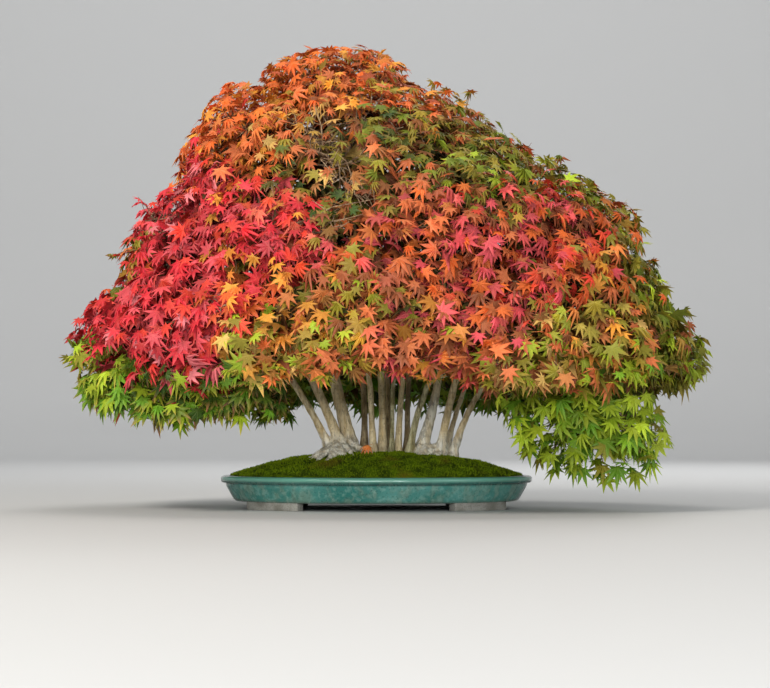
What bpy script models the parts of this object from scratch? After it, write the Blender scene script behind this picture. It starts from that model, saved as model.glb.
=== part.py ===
# Maple bonsai: a clump of pale trunks under one broad dome of palmate leaves, in a shallow oval
# glazed pot. Metres, +Z up, the viewer at -Y. The origin is on the floor, under the middle of the
# whole tree's bounding box; sizes below are given from the middle of the pot.
import math
import random

import bmesh
import bpy
from mathutils import Matrix, Vector, noise
from mathutils.bvhtree import BVHTree

# Pot
POT_LENGTH = 0.536
POT_DEPTH = 0.385
POT_SEGMENTS = 32
FLOOR_UNDERSIDE = 0.013
FLOOR_TOP = 0.020
# Each ring of the pot's section, from the middle of the underside round the lip to the middle of
# the floor: how far it lies in from the rim's outline, and its height.
POT_SECTION = [
    (0.0340, FLOOR_UNDERSIDE),
    (0.0240, 0.0150),
    (0.0120, 0.0340),
    (0.0075, 0.0440),
    (0.0012, 0.0470),
    (0.0000, 0.0515),
    (0.0030, 0.0562),
    (0.0090, 0.0570),
    (0.0140, 0.0540),
    (0.0180, 0.0450),
    (0.0300, 0.0250),
    (0.0400, FLOOR_TOP),
]
INNER_WALL = POT_SECTION[9:]
DRAIN_X = 0.120
DRAIN_RADIUS = 0.010
FOOT_WIDTH = 0.018
FOOT_INSET = 0.027
FOOT_ARC = (math.radians(33), math.radians(66))
FOOT_STEPS = 3

# Soil, moss and the screens over the drain holes
GAP = 0.0004
MOUND_INSET = 0.0158
MOUND_EDGE = 0.0575
MOUND_RISE = 0.0400
MOSS_THICKNESS = 0.0060
MOUND_RINGS = (1.0, 0.68, 0.34)
MOSS_BUMP = 0.0016
SCREEN_SIDE = 0.034
SCREEN_THICKNESS = 0.0014
SCREEN_WINDOW = 0.010

# Wood
ROOT_DEPTH_Z = 0.066
GROUND_Z = 0.100
TRUNK_SIDES = 8
THIN_SIDES = 6
THIN_RADIUS = 0.0062
LIMB_SIDES = 5
STEM_STATIONS = 9
STEM_RUN_ON = 0.45
LIMB_STATIONS = 4
ROOT_STATIONS = 4
LIMB_TIP_RADIUS = 0.0038
LIMB_LEAD = 0.020
FLARE = 0.45
FLARE_HEIGHT = 0.016
# Where a limb meets its spray's core and where it ends inside, in shares of the core's radius.
LIMB_MEETS = 1.25
LIMB_ENDS = 0.45
# Stems stand above the mound's surface over this height, and limbs that start higher cut no hole.
HOLE_TOP_Z = 0.130

# Leaves: the palmate outline, as angle from the middle lobe in degrees and reach from the stalk,
# in shares of the leaf's length. The stalk runs back and down from the blade into the spray's core.
LEAF_LENGTH = 0.098
LEAF_THICKNESS = 0.0050
LEAF_DROOP = 0.16
LOBE_TIPS = {0: 1.0, 43: 0.92, 86: 0.68}
LOBE_NOTCHES = {21: 0.40, 64: 0.34}
LEAF_HEEL = {148: 0.17}
STALK_END = (0.0, -0.20, -0.34)
LEAF_RISE = 0.011
LEAF_TRIES = 200
LEAF_SHRINK = 0.5
LEAF_CLEARANCE = 0.012
# Leaves cover the outer side of a spray's core, this share of the way from its outermost point.
LEAF_SPREAD = 0.71
# A leaf points away from the crown's middle, down and out of its spray in these shares.
FLOW_OUT = 0.9
FLOW_DOWN = 0.75
FLOW_SPRAY = 0.9
CROWN_MIDDLE_Z = 0.20
# A spray's leafy core, in shares of its half sizes: the kernel that its territory is drawn round,
# and the core as built, trimmed to that territory.
KERNEL_SHARE = 0.57
CORE_SHARE = 0.64
CORE_GAP = 0.0030
CORE_SEGMENTS = 8
CORE_RINGS = 4
TERRITORY_GAP = 0.0015
SEED = 20

COLOURS = {
    "orange": (0.62, 0.20, 0.05),
    "crimson": (0.60, 0.03, 0.05),
    "pink": (0.55, 0.14, 0.10),
    "olive": (0.30, 0.26, 0.07),
    "green": (0.16, 0.30, 0.04),
    "bark": (0.52, 0.47, 0.40),
    "glaze": (0.05, 0.22, 0.21),
    "moss": (0.07, 0.11, 0.02),
    "soil": (0.10, 0.07, 0.05),
    "screen": (0.05, 0.05, 0.05),
}

# Sprays of leaves: name, colour, centre, half sizes to the leaf tips, number of leaves
SPRAYS = [
    ("spray_apex", "orange", (-0.070, 0.000, 0.720), (0.180, 0.170, 0.118), 15),
    ("spray_upper_left", "orange", (-0.232, -0.035, 0.598), (0.142, 0.155, 0.122), 13),
    ("spray_upper_right", "olive", (0.130, -0.030, 0.600), (0.165, 0.160, 0.122), 13),
    ("spray_upper_front", "orange", (-0.050, -0.188, 0.556), (0.155, 0.130, 0.122), 13),
    ("spray_upper_back", "orange", (-0.045, 0.180, 0.560), (0.170, 0.130, 0.122), 12),
    ("spray_mid_left", "crimson", (-0.325, -0.040, 0.442), (0.135, 0.160, 0.120), 13),
    ("spray_mid_front_left", "crimson", (-0.152, -0.248, 0.418), (0.155, 0.138, 0.120), 13),
    ("spray_mid_front_right", "pink", (0.092, -0.255, 0.424), (0.165, 0.138, 0.122), 13),
    ("spray_mid_right", "olive", (0.312, -0.040, 0.462), (0.152, 0.172, 0.125), 14),
    ("spray_mid_back_right", "olive", (0.165, 0.222, 0.425), (0.160, 0.138, 0.120), 12),
    ("spray_mid_back_left", "crimson", (-0.170, 0.227, 0.422), (0.160, 0.138, 0.120), 12),
    ("spray_low_left", "crimson", (-0.400, -0.020, 0.296), (0.130, 0.172, 0.098), 12),
    ("spray_low_front_left", "crimson", (-0.240, -0.280, 0.278), (0.145, 0.135, 0.104), 13),
    ("spray_low_front", "pink", (0.000, -0.314, 0.286), (0.150, 0.128, 0.106), 13),
    ("spray_low_front_right", "pink", (0.243, -0.272, 0.284), (0.145, 0.138, 0.104), 13),
    ("spray_low_right", "olive", (0.435, -0.020, 0.296), (0.145, 0.182, 0.122), 14),
    ("spray_low_back_right", "green", (0.265, 0.240, 0.272), (0.158, 0.138, 0.104), 12),
    ("spray_low_back", "green", (0.010, 0.305, 0.280), (0.148, 0.124, 0.104), 11),
    ("spray_low_back_left", "green", (-0.245, 0.240, 0.272), (0.158, 0.138, 0.104), 12),
    ("spray_skirt_right", "green", (0.360, -0.165, 0.148), (0.150, 0.125, 0.092), 13),
    ("spray_skirt_left", "green", (-0.325, -0.130, 0.200), (0.122, 0.100, 0.052), 9),
]

# Stems: foot (x, y), waist (x, y, z), radius at the waist, the spray it ends in, and its limbs as
# (share of the stem's height where the limb leaves it, spray)
LEFT_STEMS = [
    ((-0.083, -0.006), (-0.143, -0.030, 0.217), 0.0072, "spray_low_left", [(0.55, "spray_skirt_left")]),
    ((-0.066, -0.012), (-0.112, -0.022, 0.224), 0.0100, "spray_mid_left", [(0.50, "spray_mid_front_left")]),
    (
        (-0.050, 0.012),
        (-0.072, 0.020, 0.224),
        0.0140,
        "spray_apex",
        [(0.45, "spray_upper_left"), (0.38, "spray_mid_back_left")],
    ),
]
RIGHT_STEMS = [
    ((0.080, 0.006), (0.097, 0.010, 0.180), 0.0105, "spray_upper_right", []),
    ((0.1095, -0.008), (0.1276, -0.024, 0.190), 0.0085, "spray_mid_right", []),
    ((0.1215, 0.024), (0.147, 0.040, 0.190), 0.0052, "spray_low_back_right", []),
    ((0.132, 0.002), (0.172, 0.000, 0.189), 0.0065, "spray_low_right", [(0.45, "spray_skirt_right")]),
]
SINGLE_STEMS = {
    "trunk_rear_left": ((-0.0215, 0.040), (-0.0236, 0.060, 0.215), 0.0060, "spray_low_back_left", []),
    "trunk_front_left": ((-0.0050, -0.014), (-0.0147, -0.030, 0.229), 0.0055, "spray_low_front_left", []),
    "trunk_centre": ((0.0100, 0.014), (0.0090, 0.010, 0.224), 0.0070, "spray_upper_front", []),
    "trunk_rear_centre": (
        (0.0200, 0.046),
        (0.0180, 0.060, 0.224),
        0.0050,
        "spray_upper_back",
        [(0.40, "spray_low_back")],
    ),
    "trunk_thin_front": ((0.0246, -0.018), (0.0290, -0.045, 0.200), 0.0036, "spray_low_front", []),
    "trunk_right_of_centre": ((0.0370, 0.006), (0.0450, 0.000, 0.224), 0.0055, "spray_mid_front_right", []),
    "trunk_rear_right": ((0.0530, 0.038), (0.0560, 0.060, 0.224), 0.0050, "spray_mid_back_right", []),
    "trunk_mottled": ((0.0570, -0.012), (0.0780, -0.030, 0.185), 0.0060, "spray_low_front_right", []),
}

# Surface roots: points from inside the trunk's foot outwards, and the radius at the first
LEFT_ROOTS = [
    ([(-0.066, -0.010, 0.112), (-0.076, -0.045, 0.096), (-0.088, -0.090, 0.066)], 0.0105),
    ([(-0.074, -0.006, 0.110), (-0.104, -0.024, 0.096), (-0.130, -0.046, 0.066)], 0.0095),
    ([(-0.054, 0.004, 0.114), (-0.030, -0.014, 0.102), (-0.008, -0.040, 0.076)], 0.0100),
    ([(-0.060, 0.004, 0.112), (-0.080, 0.036, 0.099), (-0.096, 0.070, 0.070)], 0.0090),
    ([(-0.084, -0.006, 0.100), (-0.066, -0.004, 0.102), (-0.048, 0.010, 0.100)], 0.0120),
]
RIGHT_ROOTS = [
    ([(0.080, 0.004, 0.108), (0.078, -0.024, 0.100), (0.076, -0.052, 0.074)], 0.0110),
    ([(0.082, 0.004, 0.108), (0.098, -0.022, 0.099), (0.104, -0.050, 0.072)], 0.0090),
    ([(0.130, 0.002, 0.100), (0.150, -0.012, 0.092), (0.168, -0.030, 0.066)], 0.0070),
    ([(0.078, 0.004, 0.098), (0.106, -0.002, 0.098), (0.134, 0.004, 0.096)], 0.0100),
    ([(0.108, -0.006, 0.097), (0.116, 0.010, 0.097), (0.124, 0.028, 0.096)], 0.0080),
]
ROOT_TIP_SHARE = 0.45

FALLEN_LEAF_LENGTH = 0.026
FALLEN_LEAF_THICKNESS = 0.0012
FALLEN_LEAF_SPOT = (-0.016, -0.052)
FALLEN_LEAF_TURN = math.radians(200)
FALLEN_LEAF_TIP = math.radians(8)
FALLEN_LEAF_CURL = 0.3


def clear_scene():
    for item in list(bpy.data.objects):
        bpy.data.objects.remove(item)


def material(name, roughness=0.6):
    found = bpy.data.materials.get(name)
    if found:
        return found
    made = bpy.data.materials.new(name)
    made.use_nodes = True
    shader = made.node_tree.nodes["Principled BSDF"]
    shader.inputs["Base Color"].default_value = (*COLOURS[name], 1.0)
    shader.inputs["Roughness"].default_value = roughness
    shader.inputs["Metallic"].default_value = 0.0
    made.diffuse_color = (*COLOURS[name], 1.0)
    return made


def add_object(name, bm, finish=None, collection=None):
    mesh = bpy.data.meshes.new(name)
    bm.to_mesh(mesh)
    bm.free()
    made = bpy.data.objects.new(name, mesh)
    (collection or bpy.context.scene.collection).objects.link(made)
    if finish:
        mesh.materials.append(finish)
    return made


def smooth(obj, angle=40):
    obj.data.shade_smooth()
    obj.data.set_sharp_from_angle(angle=math.radians(angle))


def combine(target, pieces, operation, solver="EXACT"):
    # One Boolean of a whole collection, applied, with the collection's objects removed after it.
    bpy.context.view_layer.update()
    boolean = target.modifiers.new("combine", "BOOLEAN")
    boolean.operation = operation
    boolean.operand_type = "COLLECTION"
    boolean.collection = pieces
    boolean.solver = solver
    bpy.context.view_layer.update()
    graph = bpy.context.evaluated_depsgraph_get()
    result = bpy.data.meshes.new_from_object(target.evaluated_get(graph))
    target.modifiers.remove(boolean)
    old = target.data
    target.data = result
    bpy.data.meshes.remove(old)
    result.name = target.name
    empty(pieces)


def empty(pieces):
    for item in list(pieces.objects):
        mesh = item.data
        bpy.data.objects.remove(item)
        bpy.data.meshes.remove(mesh)
    bpy.data.collections.remove(pieces)


def tray(name):
    pieces = bpy.data.collections.new(name)
    bpy.context.scene.collection.children.link(pieces)
    pieces.hide_render = True
    return pieces


# Paths and tubes


def spline(points, count):
    # A Catmull-Rom curve through the points, read at count places.
    points = [Vector(point) for point in points]
    padded = [points[0] * 2 - points[1], *points, points[-1] * 2 - points[-2]]
    spans = len(points) - 1
    path = []
    for index in range(count):
        place = index * spans / (count - 1)
        span = min(int(place), spans - 1)
        t = place - span
        a, b, c, d = padded[span : span + 4]
        path.append(
            0.5 * (2 * b + (c - a) * t + (2 * a - 5 * b + 4 * c - d) * t**2 + (3 * b - a - 3 * c + d) * t**3)
        )
    return path


def ring_frames(path):
    # Rotation of each ring, carried along the path without twist.
    frames = []
    turn = None
    last = None
    for index, point in enumerate(path):
        ahead = path[min(index + 1, len(path) - 1)]
        behind = path[max(index - 1, 0)]
        tangent = (ahead - behind).normalized()
        if turn is None:
            turn = tangent.to_track_quat("Z", "Y")
        else:
            turn = last.rotation_difference(tangent) @ turn
        last = tangent
        frames.append(turn.copy())
    return frames


def tube(path, radii, sides, grow=0.0, part=slice(None)):
    # A closed tapered tube. With grow, the same tube a little larger all round, as a cutter.
    turns = ring_frames(path)[part]
    path = path[part]
    radii = radii[part]
    stations = []
    for index, (point, turn, radius) in enumerate(zip(path, turns, radii)):
        push = {0: -grow, len(path) - 1: grow}.get(index, 0.0)
        centre = point + turn @ Vector((0, 0, push))
        size = radius + grow
        stations.append(Matrix.LocRotScale(centre, turn, Vector((size, size, size))))
    bm = bmesh.new()
    bmesh.ops.create_circle(bm, cap_ends=True, segments=sides, radius=1.0, matrix=stations[0])
    face = next(iter(bm.faces))
    for before, after in zip(stations, stations[1:]):
        face = extrude_end(bm, face, before is stations[0])
        bmesh.ops.transform(bm, matrix=after @ before.inverted(), verts=face.verts)
    bmesh.ops.recalc_face_normals(bm, faces=bm.faces)
    return bm


def extrude_end(bm, face, is_first):
    # Extrudes an end face. The first stays as the cap, and a later one would be left inside.
    grown = bmesh.ops.extrude_face_region(bm, geom=[face])["geom"]
    if not is_first:
        bmesh.ops.delete(bm, geom=[face], context="FACES_ONLY")
    return next(item for item in grown if isinstance(item, bmesh.types.BMFace))


# Pot, soil, moss and drain screens


def oval(inset):
    return POT_LENGTH / 2 - inset, POT_DEPTH / 2 - inset


def loft(rings, segments):
    # rings: (half length, half depth, height of a point) from the first cap to the last.
    bm = bmesh.new()
    bmesh.ops.create_circle(bm, cap_ends=True, segments=segments, radius=1.0)
    edges = list(bm.edges)
    loop = list(bm.verts)
    last_x, last_y = 1.0, 1.0
    for index, (half_x, half_y, height) in enumerate(rings):
        if index:
            made = bmesh.ops.extrude_edge_only(bm, edges=edges)["geom"]
            edges = [item for item in made if isinstance(item, bmesh.types.BMEdge)]
            loop = [item for item in made if isinstance(item, bmesh.types.BMVert)]
        for vertex in loop:
            x, y = vertex.co.x * half_x / last_x, vertex.co.y * half_y / last_y
            vertex.co = (x, y, height(x, y))
        last_x, last_y = half_x, half_y
    bmesh.ops.contextual_create(bm, geom=edges)
    bmesh.ops.recalc_face_normals(bm, faces=bm.faces)
    return bm


def level(height):
    return lambda x, y: height


def make_pot():
    rings = [(*oval(inset), level(height)) for inset, height in POT_SECTION]
    pot = add_object("pot", loft(rings, POT_SEGMENTS), material("glaze", 0.25))
    feet = tray("feet")
    for side_x in (-1, 1):
        for side_y in (-1, 1):
            make_foot(side_x, side_y, feet)
    combine(pot, feet, "UNION")
    drains = tray("drains")
    for side in (-1, 1):
        drain = bmesh.new()
        place = Matrix.Translation((side * DRAIN_X, 0, FLOOR_TOP / 2))
        bmesh.ops.create_cone(
            drain,
            cap_ends=True,
            segments=12,
            radius1=DRAIN_RADIUS,
            radius2=DRAIN_RADIUS,
            depth=2 * FLOOR_TOP,
            matrix=place,
        )
        add_object("drain", drain, collection=drains)
    combine(pot, drains, "DIFFERENCE")
    smooth(pot)


def make_foot(side_x, side_y, feet):
    # A low bracket that follows the oval, its top sunk into the pot's underside.
    def section(angle):
        outer = oval(FOOT_INSET)
        inner = oval(FOOT_INSET + FOOT_WIDTH)
        top = FLOOR_UNDERSIDE + 0.003
        corners = ((outer, 0.0), (outer, top), (inner, top), (inner, 0.0))
        return [
            Vector((side_x * half[0] * math.cos(angle), side_y * half[1] * math.sin(angle), height))
            for half, height in corners
        ]

    bm = bmesh.new()
    first, last = FOOT_ARC
    # The feet sit under the long sides, so their arc is measured from the pot's short axis.
    angles = [math.pi / 2 - first - (last - first) * step / FOOT_STEPS for step in range(FOOT_STEPS + 1)]
    corners = section(angles[0])
    face = bm.faces.new([bm.verts.new(corner) for corner in corners])
    for angle in angles[1:]:
        face = extrude_end(bm, face, angle == angles[1])
        following = section(angle)
        for vertex in face.verts:
            nearest = min(range(4), key=lambda index: (corners[index] - vertex.co).length)
            vertex.co = following[nearest]
        corners = following
    bmesh.ops.recalc_face_normals(bm, faces=bm.faces)
    add_object("foot", bm, collection=feet)


def mound(x, y):
    # Height of the moss at a point of the pot, before its small bumps.
    half_x, half_y = oval(MOUND_INSET)
    share = (x / half_x) ** 2 + (y / half_y) ** 2
    return MOUND_EDGE - MOSS_THICKNESS + MOUND_RISE * (1 - share)


def moss_top(x, y):
    bump = noise.noise(Vector((x, y, 0)) * 22) * MOSS_BUMP
    return mound(x, y) + MOSS_THICKNESS + bump


def make_soil(holes):
    half_x, half_y = oval(MOUND_INSET)
    rings = [(*oval(inset + GAP), level(height + GAP)) for inset, height in reversed(INNER_WALL[1:])]
    rings += [(half_x * share, half_y * share, mound) for share in MOUND_RINGS]
    soil = add_object("soil", loft(rings, POT_SEGMENTS), material("soil", 0.95))
    for side in (-1, 1):
        recess = bmesh.new()
        size = (SCREEN_SIDE + 2 * GAP, SCREEN_SIDE + 2 * GAP, 2 * (SCREEN_THICKNESS + 2 * GAP))
        bmesh.ops.create_cube(recess, size=1.0, matrix=screen_place(side) @ Matrix.Diagonal((*size, 1)))
        add_object("recess", recess, collection=holes)
    combine(soil, holes, "DIFFERENCE")
    smooth(soil)


def make_moss(holes):
    half_x, half_y = oval(MOUND_INSET)
    under = [(half_x * share, half_y * share, lambda x, y: mound(x, y) + GAP) for share in MOUND_RINGS]
    over = [(half_x * share * 0.995, half_y * share * 0.995, moss_top) for share in MOUND_RINGS]
    moss = add_object("moss", loft(under[::-1] + over, POT_SEGMENTS), material("moss", 0.95))
    combine(moss, holes, "DIFFERENCE")
    smooth(moss)
    return moss


def screen_place(side):
    return Matrix.Translation((side * DRAIN_X, 0, FLOOR_TOP + GAP))


def make_screens():
    for side, name in ((-1, "drain_screen_left"), (1, "drain_screen_right")):
        plate = bmesh.new()
        place = screen_place(side) @ Matrix.Translation((0, 0, SCREEN_THICKNESS / 2))
        size = (SCREEN_SIDE, SCREEN_SIDE, SCREEN_THICKNESS)
        bmesh.ops.create_cube(plate, size=1.0, matrix=place @ Matrix.Diagonal((*size, 1)))
        screen = add_object(name, plate, material("screen", 0.6))
        windows = tray("windows")
        for step in (-1, 1):
            window = bmesh.new()
            shift = Matrix.Translation((step * SCREEN_SIDE / 5, 0, 0))
            size = (SCREEN_WINDOW, 2 * SCREEN_WINDOW, 4 * SCREEN_THICKNESS)
            bmesh.ops.create_cube(window, size=1.0, matrix=place @ shift @ Matrix.Diagonal((*size, 1)))
            add_object("window", window, collection=windows)
        combine(screen, windows, "DIFFERENCE")


# Wood


def core_of(spray):
    # Half sizes of the leafy lump inside a spray, which the leaves stand out of.
    return Vector(spray[3]) * CORE_SHARE


def kernel_of(spray):
    return Vector(spray[3]) * KERNEL_SHARE


def spray_named(name):
    return next(spray for spray in SPRAYS if spray[0] == name)


def entry_into(spray, source):
    # Where a limb coming from source meets the spray's core, and where it ends inside it.
    centre = Vector(spray[2])
    half = kernel_of(spray)
    towards = source - centre
    reach = 1 / math.sqrt(sum((towards[axis] / half[axis]) ** 2 for axis in range(3)))
    return centre + towards * reach * LIMB_MEETS, centre + towards * reach * LIMB_ENDS


def limb_parts(stem):
    # Every tube of a stem: path, radii, sides and the spray that it ends in.
    foot, waist, radius, spray_name, limbs = stem
    waist = Vector(waist)
    start = Vector((*foot, ROOT_DEPTH_Z))
    collar = Vector((*foot, GROUND_Z)).lerp(waist, 0.12)
    meet, tip = entry_into(spray_named(spray_name), waist)
    above = waist + (waist - collar) * STEM_RUN_ON
    path = spline([start, collar, waist, above.lerp(meet, 0.12), meet], STEM_STATIONS) + [tip]
    radii = []
    for index, point in enumerate(path):
        share = index / STEM_STATIONS
        thin = radius * 1.12 + (LIMB_TIP_RADIUS - radius * 1.12) * share**0.8
        flare = 1 + FLARE * math.exp(-max(point.z - GROUND_Z, 0) / FLARE_HEIGHT)
        radii.append(thin * flare)
    parts = [(path, radii, THIN_SIDES if radius < THIN_RADIUS else TRUNK_SIDES, spray_name)]
    for share, limb_spray in limbs:
        index = round(share * STEM_STATIONS)
        begin = path[index]
        along = (path[index + 1] - path[index - 1]).normalized()
        meet, tip = entry_into(spray_named(limb_spray), begin)
        lead = begin + along * LIMB_LEAD
        limb = spline([begin, lead.lerp(meet, 0.15), meet], LIMB_STATIONS) + [tip]
        first = min(radii[index] * 0.8, radius)
        sizes = [first + (LIMB_TIP_RADIUS - first) * step / LIMB_STATIONS for step in range(LIMB_STATIONS + 1)]
        parts.append((limb, sizes, LIMB_SIDES, limb_spray))
    return parts


def root_parts(roots):
    parts = []
    for points, radius in roots:
        path = spline(points, ROOT_STATIONS)
        sizes = [
            radius * (1 + (ROOT_TIP_SHARE - 1) * step / (ROOT_STATIONS - 1)) for step in range(ROOT_STATIONS)
        ]
        parts.append((path, sizes, LIMB_SIDES, None))
    return parts


def wood_nodes():
    nodes = {
        "left_clump": [part for stem in LEFT_STEMS for part in limb_parts(stem)] + root_parts(LEFT_ROOTS),
        "right_clump": [part for stem in RIGHT_STEMS for part in limb_parts(stem)] + root_parts(RIGHT_ROOTS),
    }
    for name, stem in SINGLE_STEMS.items():
        nodes[name] = limb_parts(stem)
    return nodes


def make_wood(name, parts):
    path, radii, sides, _ = parts[0]
    wood = add_object(name, tube(path, radii, sides), material("bark", 0.85))
    others = tray(name + "_limbs")
    for path, radii, sides, _ in parts[1:]:
        add_object(name + "_limb", tube(path, radii, sides), collection=others)
    if len(parts) > 1:
        combine(wood, others, "UNION", "MANIFOLD")
    else:
        empty(others)
    smooth(wood, 50)


def ground_holes(nodes):
    # The wood below and just above the mound, a little larger all round, to cut its holes.
    holes = tray("holes")
    for parts in nodes.values():
        for path, radii, sides, _ in parts:
            if path[0].z > HOLE_TOP_Z:
                continue
            inside = [index for index, point in enumerate(path) if point.z < HOLE_TOP_Z]
            part = slice(0, max(inside) + 2)
            add_object("hole", tube(path, radii, sides, GAP, part), collection=holes)
    return holes


# Foliage


def leaf_outline():
    # Outline of the leaf seen from above, the blade's middle at the origin, the middle lobe at +Y.
    points = [Vector(STALK_END)]
    half = sorted({**LOBE_TIPS, **LOBE_NOTCHES, **LEAF_HEEL}.items())
    for angle, reach in [(-angle, reach) for angle, reach in half if angle][::-1] + half:
        turn = math.radians(angle)
        points.append(Vector((math.sin(turn) * reach, math.cos(turn) * reach, -LEAF_DROOP * reach**2)))
    return points


def leaf_mesh(place, thickness):
    # A thin star that tapers to its edge: two fans of facets on one outline.
    bm = bmesh.new()
    outline = [bm.verts.new(place @ point) for point in leaf_outline()]
    for height in (thickness / 2, -thickness / 2):
        lift = place.to_3x3() @ Vector((0, 0, 1))
        middle = bm.verts.new(place.translation + lift.normalized() * height)
        for first, second in zip(outline, outline[1:] + outline[:1]):
            bm.faces.new((middle, first, second))
    bmesh.ops.recalc_face_normals(bm, faces=bm.faces)
    return bm


def leaf_samples():
    return [Vector((0, 0, 0))] + leaf_outline()


def territory(spray):
    # Planes halfway to each other spray, which its leaves stay behind.
    planes = []
    for other in SPRAYS:
        if other is spray:
            continue
        near, far = closest_points(spray, other)
        normal = (far - near).normalized()
        planes.append(((near + far) / 2, normal))
    return planes


def surface_point(spray, direction):
    half = kernel_of(spray)
    return Vector(spray[2]) + Vector(direction[axis] * half[axis] for axis in range(3))


def closest_points(spray, other):
    # Alternating steps along the two kernels' surfaces settle on their nearest points.
    first = surface_point(spray, (Vector(other[2]) - Vector(spray[2])).normalized())
    second = surface_point(other, (Vector(spray[2]) - Vector(other[2])).normalized())
    for _ in range(60):
        first = nearest_on(spray, second)
        second = nearest_on(other, first)
    return first, second


def nearest_on(spray, point):
    # Nearest point of the kernel to an outside point, by bisection on the Lagrange factor.
    centre = Vector(spray[2])
    half = kernel_of(spray)
    local = point - centre
    low, high = 0.0, 4.0
    for _ in range(40):
        factor = (low + high) / 2
        total = sum((half[axis] * local[axis] / (half[axis] ** 2 + factor)) ** 2 for axis in range(3))
        low, high = (factor, high) if total > 1 else (low, factor)
    return centre + Vector(half[axis] ** 2 * local[axis] / (half[axis] ** 2 + low) for axis in range(3))


def leaf_sites(spray, core, draw):
    # Even places over the outer side of the core, on a golden-angle spiral round its outward axis.
    centre = Vector(spray[2])
    out = outward(centre)
    turn = out.to_track_quat("Z", "Y")
    count = spray[4]
    half = core_of(spray)
    golden = math.pi * (3 - math.sqrt(5))
    phase = draw.uniform(0, math.tau)
    for index in range(count):
        polar = math.acos(1 - 2 * LEAF_SPREAD * (index + 0.5) / count)
        around = phase + golden * index
        direction = turn @ Vector(
            (math.sin(polar) * math.cos(around), math.sin(polar) * math.sin(around), math.cos(polar))
        )
        ray = Vector(direction[axis] * half[axis] for axis in range(3)).normalized()
        spot = core.ray_cast(centre, ray)[0]
        yield spot, Vector(direction[axis] / half[axis] for axis in range(3)).normalized()


def outward(centre):
    # From the middle of the crown towards its outside.
    return Vector((centre.x, centre.y, centre.z - CROWN_MIDDLE_Z)).normalized()


def leaf_place(spot, normal, heading, tilt, length):
    forward = (heading - normal * heading.dot(normal)).normalized()
    forward, normal = (
        forward * math.cos(tilt) + normal * math.sin(tilt),
        normal * math.cos(tilt) - forward * math.sin(tilt),
    )
    side = forward.cross(normal)
    turn = Matrix((side, forward, normal)).transposed().to_4x4()
    return Matrix.Translation(spot) @ turn @ Matrix.Diagonal((length, length, length, 1))


def stays_home(place, planes, wood):
    # Whether the leaf keeps to its own spray's territory, off the wood and off the ground.
    for sample in leaf_samples():
        point = place @ sample
        if point.z < LEAF_CLEARANCE:
            return False
        if any((point - middle).dot(normal) > -TERRITORY_GAP for middle, normal in planes):
            return False
        if any((point - centre).length < radius + LEAF_CLEARANCE for centre, radius in wood):
            return False
    return True


def make_core(spray, planes):
    core = bmesh.new()
    size = Matrix.Translation(spray[2]) @ Matrix.Diagonal((*core_of(spray), 1))
    bmesh.ops.create_uvsphere(core, u_segments=CORE_SEGMENTS, v_segments=CORE_RINGS, radius=1.0, matrix=size)
    for middle, normal in planes:
        geom = [*core.verts, *core.edges, *core.faces]
        cut = bmesh.ops.bisect_plane(
            core, geom=geom, plane_co=middle - normal * CORE_GAP / 2, plane_no=normal, clear_outer=True
        )["geom_cut"]
        edges = [item for item in cut if isinstance(item, bmesh.types.BMEdge)]
        if edges:
            bmesh.ops.contextual_create(core, geom=edges)
    bmesh.ops.recalc_face_normals(core, faces=core.faces)
    return core


def make_spray(spray, wood_points, sockets):
    name, colour, centre, half, count = spray
    draw = random.Random(f"{SEED}{name}")
    planes = territory(spray)
    out = outward(Vector(centre))
    near_wood = [item for item in wood_points if (item[0] - Vector(centre)).length < max(half) + 0.06]
    core = make_core(spray, planes)
    surface = BVHTree.FromBMesh(core)
    target = add_object(name, core, material(colour, 0.6))
    leaves = tray(name + "_leaves")
    placed = []
    for spot, normal in leaf_sites(spray, surface, draw):
        away = (spot - Vector(centre)).normalized()
        flow = Vector((out.x * FLOW_OUT, out.y * FLOW_OUT, -FLOW_DOWN)) + away * FLOW_SPRAY
        for attempt in range(LEAF_TRIES):
            share = attempt / LEAF_TRIES
            heading = Matrix.Rotation(draw.uniform(-0.3 - share, 0.3 + share), 3, normal) @ flow
            tilt = draw.uniform(0.10, 0.40 + 0.5 * share)
            length = LEAF_LENGTH * draw.uniform(0.92, 1.08) * (1 - LEAF_SHRINK * share)
            place = leaf_place(spot + normal * LEAF_RISE, normal, heading, tilt, length)
            if not stays_home(place, planes, near_wood):
                continue
            leaf = leaf_mesh(place, LEAF_THICKNESS)
            shape = BVHTree.FromBMesh(leaf)
            if any(shape.overlap(other) for other in placed):
                leaf.free()
                continue
            placed.append(shape)
            add_object("leaf", leaf, collection=leaves)
            break
    combine(target, leaves, "UNION", "MANIFOLD")
    combine(target, sockets, "DIFFERENCE", "MANIFOLD")
    target.data.shade_flat()


def socket_tray(spray, nodes):
    # The limbs that end in this spray or run through its core, a little larger all round.
    sockets = tray(spray[0] + "_socket")
    half = core_of(spray) * 1.1
    for parts in nodes.values():
        for path, radii, sides, ends_in in parts:
            near = [
                index
                for index, point in enumerate(spline(path, 3 * len(path) - 2))
                if sum(((point[axis] - spray[2][axis]) / half[axis]) ** 2 for axis in range(3)) < 1
            ]
            if near:
                part = slice(max(min(near) // 3, 0), min(-(-max(near) // 3) + 1, len(path)))
                add_object("socket", tube(path, radii, sides, GAP, part), collection=sockets)
    return sockets


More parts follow.
